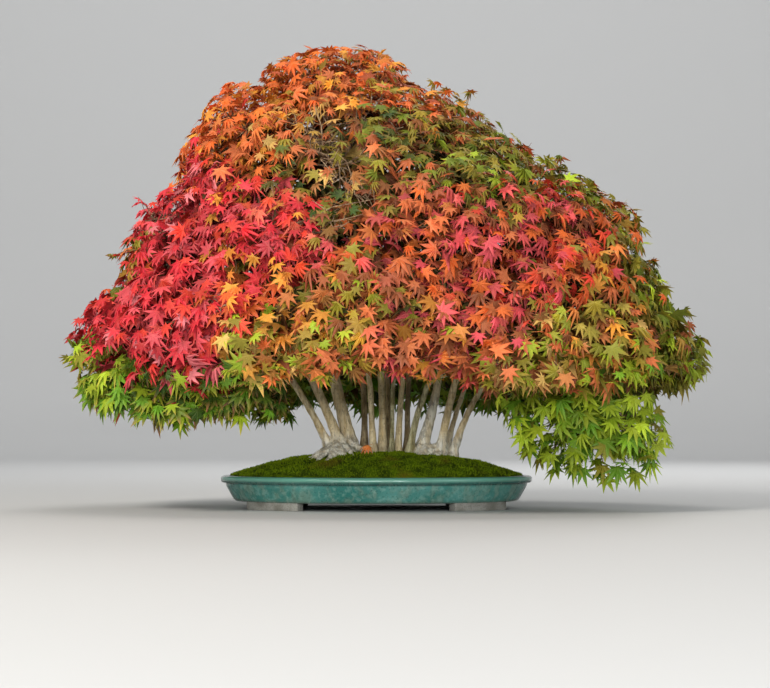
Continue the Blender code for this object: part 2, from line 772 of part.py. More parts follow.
def make_fallen_leaf(moss):
    # Lowered onto the moss until its nearest point is one gap above it.
    spot = Vector((*FALLEN_LEAF_SPOT, MOUND_EDGE + 2 * MOUND_RISE))
    length = FALLEN_LEAF_LENGTH
    turn = Matrix.Rotation(FALLEN_LEAF_TURN, 4, "Z") @ Matrix.Rotation(FALLEN_LEAF_TIP, 4, "X")
    size = Matrix.Diagonal((length, length, length * FALLEN_LEAF_CURL, 1))
    bm = leaf_mesh(Matrix.Translation(spot) @ turn @ size, FALLEN_LEAF_THICKNESS)
    ground = bmesh.new()
    ground.from_mesh(moss.data)
    surface = BVHTree.FromBMesh(ground)
    drops = []
    for edge in bm.edges:
        first, second = edge.verts
        for step in range(11):
            hit = surface.ray_cast(first.co.lerp(second.co, step / 10), Vector((0, 0, -1)))
            drops.append(hit[3])
    ground.free()
    bmesh.ops.translate(bm, vec=(0, 0, GAP - min(drops)), verts=bm.verts)
    leaf = add_object("fallen_leaf", bm, material("orange", 0.6))
    leaf.data.shade_flat()


def settle_origin():
    # Moves everything so that the floor's point under the middle of the bounding box is the origin.
    corners = [obj.matrix_world @ vertex.co for obj in bpy.data.objects for vertex in obj.data.vertices]
    low = Vector(min(corner[axis] for corner in corners) for axis in range(3))
    high = Vector(max(corner[axis] for corner in corners) for axis in range(3))
    shift = Vector((-(low.x + high.x) / 2, -(low.y + high.y) / 2, -low.z))
    for obj in bpy.data.objects:
        obj.data.transform(Matrix.Translation(shift))
    print("box", tuple(high - low), "shift", tuple(shift))


def main():
    clear_scene()
    nodes = wood_nodes()
    for name, parts in nodes.items():
        make_wood(name, parts)
    make_pot()
    make_soil(ground_holes(nodes))
    moss = make_moss(ground_holes(nodes))
    make_screens()
    wood_points = [
        (point, radius)
        for parts in nodes.values()
        for path, radii, _, _ in parts
        for point, radius in zip(spline(path, 3 * len(path) - 2), spline_values(radii))
    ]
    for spray in SPRAYS:
        make_spray(spray, wood_points, socket_tray(spray, nodes))
    make_fallen_leaf(moss)
    settle_origin()


def spline_values(values):
    # Two more values between each two, to go with a path read three times as finely.
    fine = []
    for first, second in zip(values, values[1:]):
        fine += [first, first + (second - first) / 3, first + (second - first) * 2 / 3]
    return fine + [values[-1]]


main()
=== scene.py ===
import bisect
import math
import random
from itertools import product

import bmesh
import bpy
from mathutils import Matrix, Vector, noise


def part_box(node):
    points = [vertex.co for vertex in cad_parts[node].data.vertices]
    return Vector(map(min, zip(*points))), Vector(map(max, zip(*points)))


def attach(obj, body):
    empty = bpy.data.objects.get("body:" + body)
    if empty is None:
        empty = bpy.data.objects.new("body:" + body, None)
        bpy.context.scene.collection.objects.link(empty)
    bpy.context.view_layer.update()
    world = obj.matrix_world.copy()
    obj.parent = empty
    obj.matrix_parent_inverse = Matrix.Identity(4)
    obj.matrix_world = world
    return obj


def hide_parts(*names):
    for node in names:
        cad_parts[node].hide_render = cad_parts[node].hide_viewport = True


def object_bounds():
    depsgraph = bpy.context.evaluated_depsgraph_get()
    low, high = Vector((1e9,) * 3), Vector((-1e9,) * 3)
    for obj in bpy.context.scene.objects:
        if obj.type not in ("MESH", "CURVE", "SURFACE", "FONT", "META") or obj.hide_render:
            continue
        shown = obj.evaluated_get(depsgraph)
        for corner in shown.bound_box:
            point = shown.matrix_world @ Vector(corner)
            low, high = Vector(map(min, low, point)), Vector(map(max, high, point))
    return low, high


# Maple bonsai in autumn colour. Metres, +Z up, seen from -Y.
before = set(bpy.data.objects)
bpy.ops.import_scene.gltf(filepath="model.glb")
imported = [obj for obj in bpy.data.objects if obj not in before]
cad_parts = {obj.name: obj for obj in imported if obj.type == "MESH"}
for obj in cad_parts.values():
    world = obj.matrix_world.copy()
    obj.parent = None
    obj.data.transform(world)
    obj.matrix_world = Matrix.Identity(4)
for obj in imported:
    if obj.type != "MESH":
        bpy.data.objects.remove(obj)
cadLow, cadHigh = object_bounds()
potLow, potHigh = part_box("pot")
potMiddle = Vector(((potLow.x + potHigh.x) / 2, (potLow.y + potHigh.y) / 2, 0))
print("frame loaded")


# helpers for draws, colours and meshes


def seeded(name):
    return random.Random("maple " + name)


def colourOf(code):
    # "#rrggbb" as it looks on a screen, turned into the linear colour that shaders want
    parts = [int(code[i : i + 2], 16) / 255 for i in (1, 3, 5)]
    return tuple(p / 12.92 if p <= 0.04045 else ((p + 0.055) / 1.055) ** 2.4 for p in parts) + (1.0,)


def mixed(a, b, share):
    return a + (b - a) * share


def smoothStep(value):
    value = min(max(value, 0.0), 1.0)
    return value * value * (3 - 2 * value)


def inScene(name, data):
    made = bpy.data.objects.new(name, data)
    bpy.context.scene.collection.objects.link(made)
    return made


def meshOf(name, bm):
    # hands a bmesh over to a mesh
    mesh = bpy.data.meshes.new(name)
    bm.to_mesh(mesh)
    bm.free()
    return mesh


def finish(bm, name, materials, replaces, smoothAngle):
    # turns a bmesh into a piece that sits at the origin and rides with the tree
    mesh = meshOf(name, bm)
    piece = inScene(name, mesh)
    for material in materials:
        mesh.materials.append(material)
    mesh.shade_smooth()
    mesh.set_sharp_from_angle(angle=math.radians(smoothAngle))
    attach(piece, "root")
    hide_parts(*replaces)
    print(name, sum(len(face.vertices) - 2 for face in mesh.polygons), "triangles")


def camelCase(name):
    first, *rest = name.split("_")
    return first + "".join(word.capitalize() for word in rest)


def appliedMesh(source):
    # the mesh of an object with its modifiers or its curve bevel applied, and the object gone
    bpy.context.view_layer.update()
    graph = bpy.context.evaluated_depsgraph_get()
    mesh = bpy.data.meshes.new_from_object(source.evaluated_get(graph))
    data = source.data
    bpy.data.objects.remove(source)
    if isinstance(data, bpy.types.Mesh):
        bpy.data.meshes.remove(data)
    else:
        bpy.data.curves.remove(data)
    return mesh


def branchMesh(strokes, sides):
    # strokes: lists of (point, radius), each drawn as one bevelled curve with its ends closed
    curve = bpy.data.curves.new("strokes", "CURVE")
    curve.dimensions = "3D"
    curve.bevel_depth = 1.0
    curve.bevel_resolution = (sides - 4) // 2
    curve.use_fill_caps = True
    for stroke in strokes:
        spline = curve.splines.new("POLY")
        spline.points.add(len(stroke) - 1)
        for knot, (point, radius) in zip(spline.points, stroke):
            knot.co = (*point, 1)
            knot.radius = radius
    mesh = appliedMesh(inScene("strokes", curve))
    bm = bmesh.new()
    bm.from_mesh(mesh)
    bpy.data.meshes.remove(mesh)
    bmesh.ops.remove_doubles(bm, verts=bm.verts, dist=1e-6)
    bmesh.ops.recalc_face_normals(bm, faces=bm.faces)
    return bm


def flowing(points, count):
    # a smooth line through the points, read at count places
    points = [Vector(p) for p in points]
    padded = [points[0] * 2 - points[1], *points, points[-1] * 2 - points[-2]]
    line = []
    for i in range(count):
        place = i * (len(points) - 1) / (count - 1)
        span = min(int(place), len(points) - 2)
        t = place - span
        a, b, c, d = padded[span : span + 4]
        bend, twist = 2 * a - 5 * b + 4 * c - d, 3 * b - a - 3 * c + d
        line.append(0.5 * (2 * b + (c - a) * t + bend * t**2 + twist * t**3))
    return line


def pulledRings(rings, segments, capEnd=True):
    # one circle drawn up through the rings; a ring is a function from the unit circle to a point
    bm = bmesh.new()
    bmesh.ops.create_circle(bm, cap_ends=True, segments=segments, radius=1.0)
    edges = list(bm.edges)
    unit = {v: Vector((v.co.x, v.co.y)) for v in bm.verts}
    loop = list(bm.verts)
    for i, ring in enumerate(rings):
        if i:
            lifted = {tuple(v.co): unit[v] for v in loop}
            made = bmesh.ops.extrude_edge_only(bm, edges=edges)["geom"]
            edges = [item for item in made if isinstance(item, bmesh.types.BMEdge)]
            loop = [item for item in made if isinstance(item, bmesh.types.BMVert)]
            unit = {v: lifted[tuple(v.co)] for v in loop}
        for v in loop:
            v.co = ring(unit[v])
    if capEnd:
        bmesh.ops.contextual_create(bm, geom=edges)
    bmesh.ops.recalc_face_normals(bm, faces=bm.faces)
    return bm


# camera, light and room

view = {
    "distance": 3.9,  # from the pot's middle
    "height": 0.152,
    "aside": 0.0147,  # camera right of the pot's middle
    "lens": 105.8,
    "sensor": 36,
    "shiftUp": 0.0987,
    "farthest": 60,
}


def setCamera():
    data = bpy.data.cameras.new("camera")
    data.lens = view["lens"]
    data.sensor_width = view["sensor"]
    data.shift_y = view["shiftUp"]
    data.clip_end = view["farthest"]
    camera = inScene("camera", data)
    camera.location = (potMiddle.x + view["aside"], potMiddle.y - view["distance"], view["height"])
    camera.rotation_euler = (math.radians(90), 0, 0)
    bpy.context.scene.camera = camera


lights = {
    "key": {
        "at": (-1.8, -2.6, 2.5), "aim": (0, 0, 0.35),
        "size": (1.0, 1.0), "watts": 98, "colour": "#fff8ee",
    },
    "fill": {
        "at": (2.6, -2.4, 1.2), "aim": (0, 0, 0.3),
        "size": (2.2, 1.6), "watts": 18, "colour": "#f4f7ff",
    },
    "front": {
        "at": (-0.3, -4.4, 0.85), "aim": (0, 0, 0.12),
        "size": (3.4, 0.5), "watts": 84, "colour": "#ffffff",
    },
    "top": {
        "at": (0.2, 0.3, 3.0), "aim": (0, 0, 0.3),
        "size": (1.6, 1.6), "watts": 22, "colour": "#fffaf2",
    },
    "back": {
        "at": (1.6, 3.2, 2.3), "aim": (0, 0, 0.35),
        "size": (1.4, 1.4), "watts": 34, "colour": "#ffffff",
    },
    "wash": {
        "at": (0.0, 2.2, 3.6), "aim": (0, 6.5, 1.2),
        "size": (3.0, 2.0), "watts": 95, "colour": "#fdfdff",
    },
}
roomLook = {
    "sky": "#e9ebec",
    "skyStrength": 0.28,
    "floor": "#c3c4c4",
    "floorRoughness": 0.75,
    "floorRadius": 6.0,
    "wallHeight": 5.0,
    # the floor's rings, in shares of its radius and of the wall's height
    "rings": [
        (0.02, 0.0), (0.5, 0.0), (0.82, 0.0), (0.9, 0.02),
        (0.96, 0.08), (1.0, 0.2), (1.02, 0.5), (1.02, 1.0),
    ],
    "segments": 96,
}


def setLights():
    for name, light in lights.items():
        data = bpy.data.lights.new(name, "AREA")
        data.shape = "RECTANGLE"
        data.size, data.size_y = light["size"]
        data.energy = light["watts"]
        data.color = colourOf(light["colour"])[:3]
        lamp = inScene(name, data)
        lamp.location = light["at"]
        lamp.rotation_euler = (Vector(light["aim"]) - Vector(light["at"])).to_track_quat("-Z", "Y").to_euler()
    world = bpy.data.worlds.new("room")
    bpy.context.scene.world = world
    world.use_nodes = True
    sky = world.node_tree.nodes["Background"]
    sky.inputs["Color"].default_value = colourOf(roomLook["sky"])
    sky.inputs["Strength"].default_value = roomLook["skyStrength"]


def makeRoom():
    # a round floor that sweeps up into a wall, so that every side has the same plain ground
    radius = roomLook["floorRadius"]
    height = roomLook["wallHeight"]

    def floorRing(out, up):
        return lambda u: Vector((u.x * radius * out, u.y * radius * out, height * up))

    rings = [floorRing(out, up) for out, up in roomLook["rings"]]
    bm = pulledRings(rings, roomLook["segments"], capEnd=False)
    bmesh.ops.reverse_faces(bm, faces=bm.faces)
    mesh = meshOf("floor", bm)
    mesh.shade_smooth()
    floor = inScene("floor", mesh)
    paint = bpy.data.materials.new("paleFloor")
    paint.use_nodes = True
    shader = paint.node_tree.nodes["Principled BSDF"]
    shader.inputs["Base Color"].default_value = colourOf(roomLook["floor"])
    shader.inputs["Roughness"].default_value = roomLook["floorRoughness"]
    mesh.materials.append(paint)


setCamera()
setLights()
makeRoom()
bpy.context.scene.view_settings.view_transform = "Standard"
print("camera, lights and floor ready")


# shader groups


def node(tree, kind, inputs=None, **settings):
    made = tree.nodes.new(kind)
    for name, value in settings.items():
        setattr(made, name, value)
    for name, value in (inputs or {}).items():
        if isinstance(value, bpy.types.NodeSocket):
            tree.links.new(value, made.inputs[name])
        else:
            made.inputs[name].default_value = value
    return made


def maths(tree, operation, *values, clamp=False):
    made = node(tree, "ShaderNodeMath", dict(enumerate(values)), operation=operation, use_clamp=clamp)
    return made.outputs[0]


def blended(tree, share, first, second, mode="MIX"):
    # ShaderNodeMix keeps its colour sockets at 6 and 7, and its factor at 0
    made = node(tree, "ShaderNodeMix", data_type="RGBA", blend_type=mode)
    for index, value in ((0, share), (6, first), (7, second)):
        if isinstance(value, bpy.types.NodeSocket):
            tree.links.new(value, made.inputs[index])
        else:
            made.inputs[index].default_value = value
    return made.outputs[2]


def layered(tree, colour, pattern, share, over):
    # lays a second colour over the first where the pattern shows
    return blended(tree, maths(tree, "MULTIPLY", pattern, share), colour, over)


def ramp(tree, value, start, full, **settings):
    # 0 at start, 1 at full
    inputs = {"Value": value, "From Min": start, "From Max": full}
    return node(tree, "ShaderNodeMapRange", inputs, **settings).outputs["Result"]


def heightOf(tree, place):
    return node(tree, "ShaderNodeSeparateXYZ", {"Vector": place}).outputs["Z"]


def newGroup(name, inputs, outputs):
    group = bpy.data.node_groups.new(name, "ShaderNodeTree")
    for label, (kind, value) in inputs.items():
        socket = group.interface.new_socket(label, in_out="INPUT", socket_type=kind)
        if value is not None:
            socket.default_value = value
    for label, kind in outputs.items():
        group.interface.new_socket(label, in_out="OUTPUT", socket_type=kind)
    return group, group.nodes.new("NodeGroupInput"), group.nodes.new("NodeGroupOutput")


def makeMottle():
    # soft patches of one noise, between two levels
    group, given, out = newGroup(
        "mottle",
        {
            "Vector": ("NodeSocketVector", None),
            "Scale": ("NodeSocketFloat", 10.0),
            "Detail": ("NodeSocketFloat", 4.0),
            "Low": ("NodeSocketFloat", 0.4),
            "High": ("NodeSocketFloat", 0.6),
        },
        {"Amount": "NodeSocketFloat"},
    )
    cloud = node(group, "ShaderNodeTexNoise", {"Vector": given.outputs["Vector"]})
    group.links.new(given.outputs["Scale"], cloud.inputs["Scale"])
    group.links.new(given.outputs["Detail"], cloud.inputs["Detail"])
    low, high = given.outputs["Low"], given.outputs["High"]
    amount = ramp(group, cloud.outputs["Fac"], low, high, interpolation_type="SMOOTHSTEP")
    group.links.new(amount, out.inputs["Amount"])
    return group


def makeLeafPattern():
    # ribs that fan out from the stalk into the lobes, and how near a point is to a lobe's tip
    group, given, out = newGroup(
        "leafPattern",
        {"Leaf map": ("NodeSocketVector", None), "Rib width": ("NodeSocketFloat", 0.05)},
        {"Rib": "NodeSocketFloat", "Tip": "NodeSocketFloat"},
    )
    middle = {0: given.outputs["Leaf map"], 1: (0.5, 0.5, 0.0)}
    centred = node(group, "ShaderNodeVectorMath", middle, operation="SUBTRACT")
    parts = node(group, "ShaderNodeSeparateXYZ", {"Vector": centred.outputs[0]})
    x, y = parts.outputs["X"], parts.outputs["Y"]
    squares = maths(group, "ADD", maths(group, "MULTIPLY", x, x), maths(group, "MULTIPLY", y, y))
    radius = maths(group, "MULTIPLY", maths(group, "SQRT", squares), 2.0)
    half = math.radians(20)  # the lobes stand 40 degrees apart
    off = maths(group, "WRAP", maths(group, "ARCTAN2", x, y), half, -half)
    away = maths(group, "MULTIPLY", maths(group, "ABSOLUTE", off), radius)
    rib = node(
        group,
        "ShaderNodeMapRange",
        {"Value": away, "From Min": 0.0, "From Max": given.outputs["Rib width"], "To Min": 1.0, "To Max": 0.0},
        interpolation_type="SMOOTHSTEP",
    )
    group.links.new(rib.outputs["Result"], out.inputs["Rib"])
    group.links.new(ramp(group, radius, 0.35, 1.0, interpolation_type="SMOOTHSTEP"), out.inputs["Tip"])
    return group


mottle = makeMottle()
leafPattern = makeLeafPattern()


def patches(tree, place, scale, low, high, detail=4.0):
    # a pattern with a tuple for its scale is stretched along its axes
    if isinstance(scale, tuple):
        place = node(tree, "ShaderNodeMapping", {"Vector": place, "Scale": scale}).outputs["Vector"]
        scale = 1.0
    made = node(tree, "ShaderNodeGroup", node_tree=mottle)
    tree.links.new(place, made.inputs["Vector"])
    for name, value in (("Scale", scale), ("Detail", detail), ("Low", low), ("High", high)):
        made.inputs[name].default_value = value
    return made.outputs["Amount"]


def newMaterial(name):
    material = bpy.data.materials.new(name)
    material.use_nodes = True
    tree = material.node_tree
    place = node(tree, "ShaderNodeTexCoord").outputs["Object"]
    return material, tree, tree.nodes["Principled BSDF"], place


def relief(tree, shader, height, strength, distance):
    bump = node(tree, "ShaderNodeBump", {"Height": height, "Strength": strength, "Distance": distance})
    tree.links.new(bump.outputs["Normal"], shader.inputs["Normal"])


# materials

leafLook = {
    "tips": 0.30,  # how far the lobes' tips turn towards the tip colour
    "ribs": 0.22,
    "blotches": (95, 0.35, 0.7),  # scale, and the levels where they start and are full
    "blotch": 0.40,
    "blotchTint": (0.62, 0.55, 0.5, 1),
    "ribTint": (0.14, 0.10, 0.03, 1),
    "roughness": 0.50,
    "shine": 0.32,
    "relief": 0.0006,
}


def leafMaterial(name, tipColour):
    material, tree, shader, place = newMaterial(name)
    tint = node(tree, "ShaderNodeVertexColor", layer_name="tint").outputs["Color"]
    leafMap = node(tree, "ShaderNodeUVMap", uv_map="leafMap").outputs["UV"]
    pattern = node(tree, "ShaderNodeGroup", node_tree=leafPattern)
    tree.links.new(leafMap, pattern.inputs["Leaf map"])
    blotch = patches(tree, place, *leafLook["blotches"])
    darker = blended(tree, 1.0, tint, leafLook["blotchTint"], "MULTIPLY")
    colour = layered(tree, tint, blotch, leafLook["blotch"], darker)
    colour = layered(tree, colour, pattern.outputs["Tip"], leafLook["tips"], colourOf(tipColour))
    paler = blended(tree, 1.0, colour, leafLook["ribTint"], "ADD")
    colour = layered(tree, colour, pattern.outputs["Rib"], leafLook["ribs"], paler)
    tree.links.new(colour, shader.inputs["Base Color"])
    rough = maths(tree, "MULTIPLY_ADD", blotch, 0.14, leafLook["roughness"])
    shader.inputs["Specular IOR Level"].default_value = leafLook["shine"]
    tree.links.new(rough, shader.inputs["Roughness"])
    height = maths(tree, "MULTIPLY_ADD", blotch, 0.4, pattern.outputs["Rib"])
    relief(tree, shader, height, 0.5, leafLook["relief"])
    return material


leafMaterials = {
    "leaves_orange": leafMaterial("orangeLeaf", "#b8401c"),
    # the crimson leaves' pale pink tip colour is partly painted highlight on the lobes' tips
    "leaves_crimson": leafMaterial("crimsonLeaf", "#e85560"),
    "leaves_pink": leafMaterial("pinkLeaf", "#b8403a"),
    "leaves_olive": leafMaterial("oliveLeaf", "#a8662e"),
    "leaves_green": leafMaterial("greenLeaf", "#a9b93c"),
}

barkLooks = {
    "paleBark": {"pale": "#ffefc4", "mid": "#e0c894", "dark": "#8f7858", "bleached": False},
    "rootBark": {"pale": "#ffeec6", "mid": "#dac28f", "dark": "#83694a", "bleached": True},
    "knobbedBark": {
        "pale": "#ffeec6", "mid": "#dac28f", "dark": "#83694a", "bleached": True,
        "whiteTrunk": 0.0965,  # how far right of the pot's middle the white trunk's side lies
    },
    "shadeBark": {"pale": "#c2ae88", "mid": "#97825c", "dark": "#56462f", "bleached": False},
    "mottledBark": {"pale": "#d6cfa4", "mid": "#938a5e", "dark": "#453f28", "bleached": False},
    "twigBark": {"pale": "#b79c7a", "mid": "#8a6a4e", "dark": "#4f3a2b", "bleached": False},
}


# each pattern's scale, the levels where it starts and is full, and its detail
barkPatterns = {
    "streaks": ((150, 150, 26), 0.38, 0.66, 6),
    "rings": ((20, 20, 260), 0.56, 0.70, 3),
    "cracks": ((480, 480, 70), 0.55, 0.65, 4),
    "specks": (230, 0.60, 0.70, 2),
    "stains": (34, 0.42, 0.66, 5),
    # dark patches painted as shade in the roots' grooves
    "creviceShade": ((130, 130, 70), 0.50, 0.60, 3),
}
barkShares = {"cracks": 0.45, "specks": 0.40, "stains": 0.45, "rings": 0.2}  # how much dark each lays on
barkFinish = {"roughness": 0.82, "relief": 0.0014}
# bare, bleached roots near the moss; heights above the floor as (start, full)
rootLook = {
    "palest": "#fffbea",
    "pale": "#e8dfc6",
    "low": (0.134, 0.110),
    "rings": ("#8d866f", 0.12),
    # painted shade in the roots' grooves
    "creviceShade": ("#6d6450", 0.50),
    "cracks": ("#7d745c", 0.35),
    "mossy": ("#6c6a44", 0.35),
    "mossyLow": (0.094, 0.076),
    # a clump's first, leaning trunk is white far up
    "trunkHeight": (0.215, 0.175),
    "trunkLean": -0.22,
    "trunkEdge": 0.003,
    "trunkMiddle": -0.022,
}


def bleachedRoots(tree, place, look, colour, marks):
    height = heightOf(tree, place)
    low = ramp(tree, height, *rootLook["low"])
    if "whiteTrunk" in look:
        across = node(tree, "ShaderNodeSeparateXYZ", {"Vector": place}).outputs["X"]
        slant = maths(tree, "MULTIPLY_ADD", height, rootLook["trunkLean"], across)
        edge = look["whiteTrunk"] + potMiddle.x + rootLook["trunkMiddle"]
        side = ramp(tree, slant, edge + rootLook["trunkEdge"], edge - rootLook["trunkEdge"])
        tall = ramp(tree, height, *rootLook["trunkHeight"])
        low = maths(tree, "MAXIMUM", low, maths(tree, "MULTIPLY", side, tall))
    streaks = marks["streaks"]
    torn = maths(tree, "SUBTRACT", 1.15, maths(tree, "MULTIPLY", streaks, 0.45))
    ragged = maths(tree, "MULTIPLY", low, torn, clamp=True)
    marks["creviceShade"] = patches(tree, place, *barkPatterns["creviceShade"])
    bleached = blended(tree, streaks, colourOf(rootLook["palest"]), colourOf(rootLook["pale"]))
    for kind in ("rings", "creviceShade", "cracks"):
        over, share = rootLook[kind]
        bleached = layered(tree, bleached, marks[kind], share, colourOf(over))
    colour = blended(tree, ragged, colour, bleached)
    over, share = rootLook["mossy"]
    return layered(tree, colour, ramp(tree, height, *rootLook["mossyLow"]), share, colourOf(over))


def barkMaterial(name, look):
    material, tree, shader, place = newMaterial(name)
    kinds = ("streaks", *barkShares)
    marks = {kind: patches(tree, place, *barkPatterns[kind]) for kind in kinds}
    colour = blended(tree, marks["streaks"], colourOf(look["pale"]), colourOf(look["mid"]))
    for kind, share in barkShares.items():
        colour = layered(tree, colour, marks[kind], share, colourOf(look["dark"]))
    if look["bleached"]:
        colour = bleachedRoots(tree, place, look, colour, marks)
    tree.links.new(colour, shader.inputs["Base Color"])
    shader.inputs["Roughness"].default_value = barkFinish["roughness"]
    height = maths(tree, "MULTIPLY", marks["rings"], -0.2)
    height = maths(tree, "MULTIPLY_ADD", marks["cracks"], -0.6, height)
    height = maths(tree, "MULTIPLY_ADD", marks["streaks"], -0.8, height)
    relief(tree, shader, height, 0.7, barkFinish["relief"])
    return material


barkMaterials = {name: barkMaterial(name, look) for name, look in barkLooks.items()}

glazeLook = {
    "teal": "#2d7a71",
    "blue": "#55978f",
    "brown": "#8d8a70",
    "dark": "#1d4a45",
    "pale": "#9cc4b6",
    "roughness": 0.14,
    "coat": 0.5,
    "coatRoughness": 0.12,
    "relief": 0.0006,
    # colour, share, and the heights where it starts and is full
    # painted shade under the lip, partly glaze pooled there
    "pooledAndShaded": ("#1d4b45", 0.75, 0.0412, 0.0446),  # under the lip
    # a painted highlight on the lip's edge, partly thinner glaze there
    "thinned": ("#79bfa8", 0.75, 0.0478, 0.0522),  # on the lip's edge
    "foot": ("#5d5a49", 0.5, 0.019, 0.013),
}


def glazeMaterial():
    material, tree, shader, place = newMaterial("tealGlaze")
    broad = patches(tree, place, 11, 0.38, 0.64, 5)
    runs = patches(tree, place, (55, 55, 22), 0.44, 0.66, 5)
    specks = patches(tree, place, 330, 0.58, 0.68, 2)
    fine = patches(tree, place, 120, 0.45, 0.68, 4)
    colour = blended(tree, broad, colourOf(glazeLook["teal"]), colourOf(glazeLook["blue"]))
    # the pale fine patches are partly the glaze's own flecks, partly painted highlights
    for pattern, share, kind in ((runs, 0.30, "brown"), (fine, 0.30, "pale"), (specks, 0.45, "dark")):
        colour = layered(tree, colour, pattern, share, colourOf(glazeLook[kind]))
    height = heightOf(tree, place)
    # bands by height: painted shade under the lip, a painted highlight on the lip's edge, and the foot's own
    # colour
    bands = {}
    for kind in ("pooledAndShaded", "thinned", "foot"):
        over, share, first, full = glazeLook[kind]
        bands[kind] = ramp(tree, height, first, full)
        colour = layered(tree, colour, bands[kind], share, colourOf(over))
    tree.links.new(colour, shader.inputs["Base Color"])
    dull = maths(tree, "SUBTRACT", 0.2, maths(tree, "MULTIPLY", bands["thinned"], 0.16))
    rough = maths(tree, "ADD", maths(tree, "MULTIPLY", runs, dull), glazeLook["roughness"])
    tree.links.new(rough, shader.inputs["Roughness"])
    shader.inputs["Coat Weight"].default_value = glazeLook["coat"]
    shader.inputs["Coat Roughness"].default_value = glazeLook["coatRoughness"]
    relief(tree, shader, maths(tree, "ADD", fine, broad), 0.25, glazeLook["relief"])
    return material


clayLook = {"pale": "#9b9a92", "grey": "#77756c", "grain": "#55524a", "roughness": 0.85, "relief": 0.0005}


def clayMaterial():
    material, tree, shader, place = newMaterial("greyClay")
    grain = patches(tree, place, 420, 0.4, 0.7, 3)
    wash = patches(tree, place, 30, 0.4, 0.65, 4)
    colour = blended(tree, wash, colourOf(clayLook["pale"]), colourOf(clayLook["grey"]))
    colour = layered(tree, colour, grain, 0.4, colourOf(clayLook["grain"]))
    tree.links.new(colour, shader.inputs["Base Color"])
    shader.inputs["Roughness"].default_value = clayLook["roughness"]
    relief(tree, shader, grain, 0.5, clayLook["relief"])
    return material


mossLook = {
    "deep": "#3e5006",
    "green": "#6c8a0a",
    "fresh": "#a8c41c",
    "dry": "#8f7a20",
    "roughness": 0.95,
    "shine": 0.12,
    "relief": 0.0015,
}


def mossMaterial():
    material, tree, shader, place = newMaterial("moss")
    tuft = node(tree, "ShaderNodeVertexColor", layer_name="tint").outputs["Color"]
    lit = node(tree, "ShaderNodeSeparateColor", {"Color": tuft}).outputs["Red"]
    cushions = patches(tree, place, 42, 0.36, 0.66, 4)
    dry = patches(tree, place, 17, 0.56, 0.72, 4)
    grain = patches(tree, place, 700, 0.35, 0.7, 3)
    colour = blended(tree, cushions, colourOf(mossLook["deep"]), colourOf(mossLook["green"]))
    # the tufts' tips take the lighter green: partly fresh growth, partly painted light
    for pattern, share, kind in ((lit, 0.75, "fresh"), (dry, 0.6, "dry"), (grain, 0.35, "deep")):
        colour = layered(tree, colour, pattern, share, colourOf(mossLook[kind]))
    tree.links.new(colour, shader.inputs["Base Color"])
    shader.inputs["Roughness"].default_value = mossLook["roughness"]
    shader.inputs["Specular IOR Level"].default_value = mossLook["shine"]
    relief(tree, shader, grain, 0.7, mossLook["relief"])
    return material


soilLook = {"dark": "#4b3524", "tan": "#8a6a48", "grains": 260.0, "roughness": 0.95, "relief": 0.002}


def soilMaterial():
    material, tree, shader, place = newMaterial("soilGrains")
    grains = node(tree, "ShaderNodeTexVoronoi", {"Vector": place, "Scale": soilLook["grains"]})
    tone = node(tree, "ShaderNodeSeparateColor", {"Color": grains.outputs["Color"]}).outputs["Red"]
    colour = blended(tree, tone, colourOf(soilLook["dark"]), colourOf(soilLook["tan"]))
    tree.links.new(colour, shader.inputs["Base Color"])
    shader.inputs["Roughness"].default_value = soilLook["roughness"]
    relief(tree, shader, grains.outputs["Distance"], 0.8, soilLook["relief"])
    return material


screenLook = {"black": "#1c1d1c", "scuff": "#3a3b38", "roughness": 0.45, "relief": 0.0004}


def screenMaterial():
    material, tree, shader, place = newMaterial("screenPlastic")
    scuffs = patches(tree, place, 160, 0.5, 0.7, 3)
    colour = blended(tree, scuffs, colourOf(screenLook["black"]), colourOf(screenLook["scuff"]))
    tree.links.new(colour, shader.inputs["Base Color"])
    rough = maths(tree, "MULTIPLY_ADD", scuffs, 0.25, screenLook["roughness"])
    tree.links.new(rough, shader.inputs["Roughness"])
    relief(tree, shader, scuffs, 0.2, screenLook["relief"])
    return material


glaze = glazeMaterial()
clay = clayMaterial()
mossGreen = mossMaterial()
soilGrains = soilMaterial()
screenPlastic = screenMaterial()
print("materials ready")


# pot

potForm = {
    "length": 0.536,
    "depth": 0.385,
    "segments": 144,
    # how far in from the rim, and how high: underside, wall, rolled lip, inner wall, floor
    "section": [
        (0.0340, 0.0130),
        (0.0262, 0.0137),
        (0.0215, 0.0180),
        (0.0150, 0.0290),
        (0.0098, 0.0385),
        (0.0084, 0.0428),
        (0.0074, 0.0444),
        (0.0026, 0.0452),
        (0.0006, 0.0474),
        (0.0000, 0.0508),
        (0.0008, 0.0542),
        (0.0040, 0.0565),
        (0.0085, 0.0571),
        (0.0125, 0.0562),
        (0.0146, 0.0535),
        (0.0180, 0.0450),
        (0.0300, 0.0250),
        (0.0400, 0.0200),
    ],
    "smoothing": 3,  # extra rings between two of the section's points
    "drainAt": 0.120,
    "drainRadius": 0.010,
    "drainSides": 40,
    "drillHeight": 0.0165,  # middle of the drill that bores a drain hole
    "drillLength": 0.03,
    "smoothAngle": 42,
}
# turns in degrees from the pot's long axis
footForm = {"inset": 0.027, "width": 0.018, "height": 0.0165, "from": 24, "to": 57, "steps": 12, "edge": 0.0014}


def ovalRing(inset, height):
    halfX, halfY = potForm["length"] / 2 - inset, potForm["depth"] / 2 - inset
    return lambda u: Vector((potMiddle.x + u.x * halfX, potMiddle.y + u.y * halfY, height))


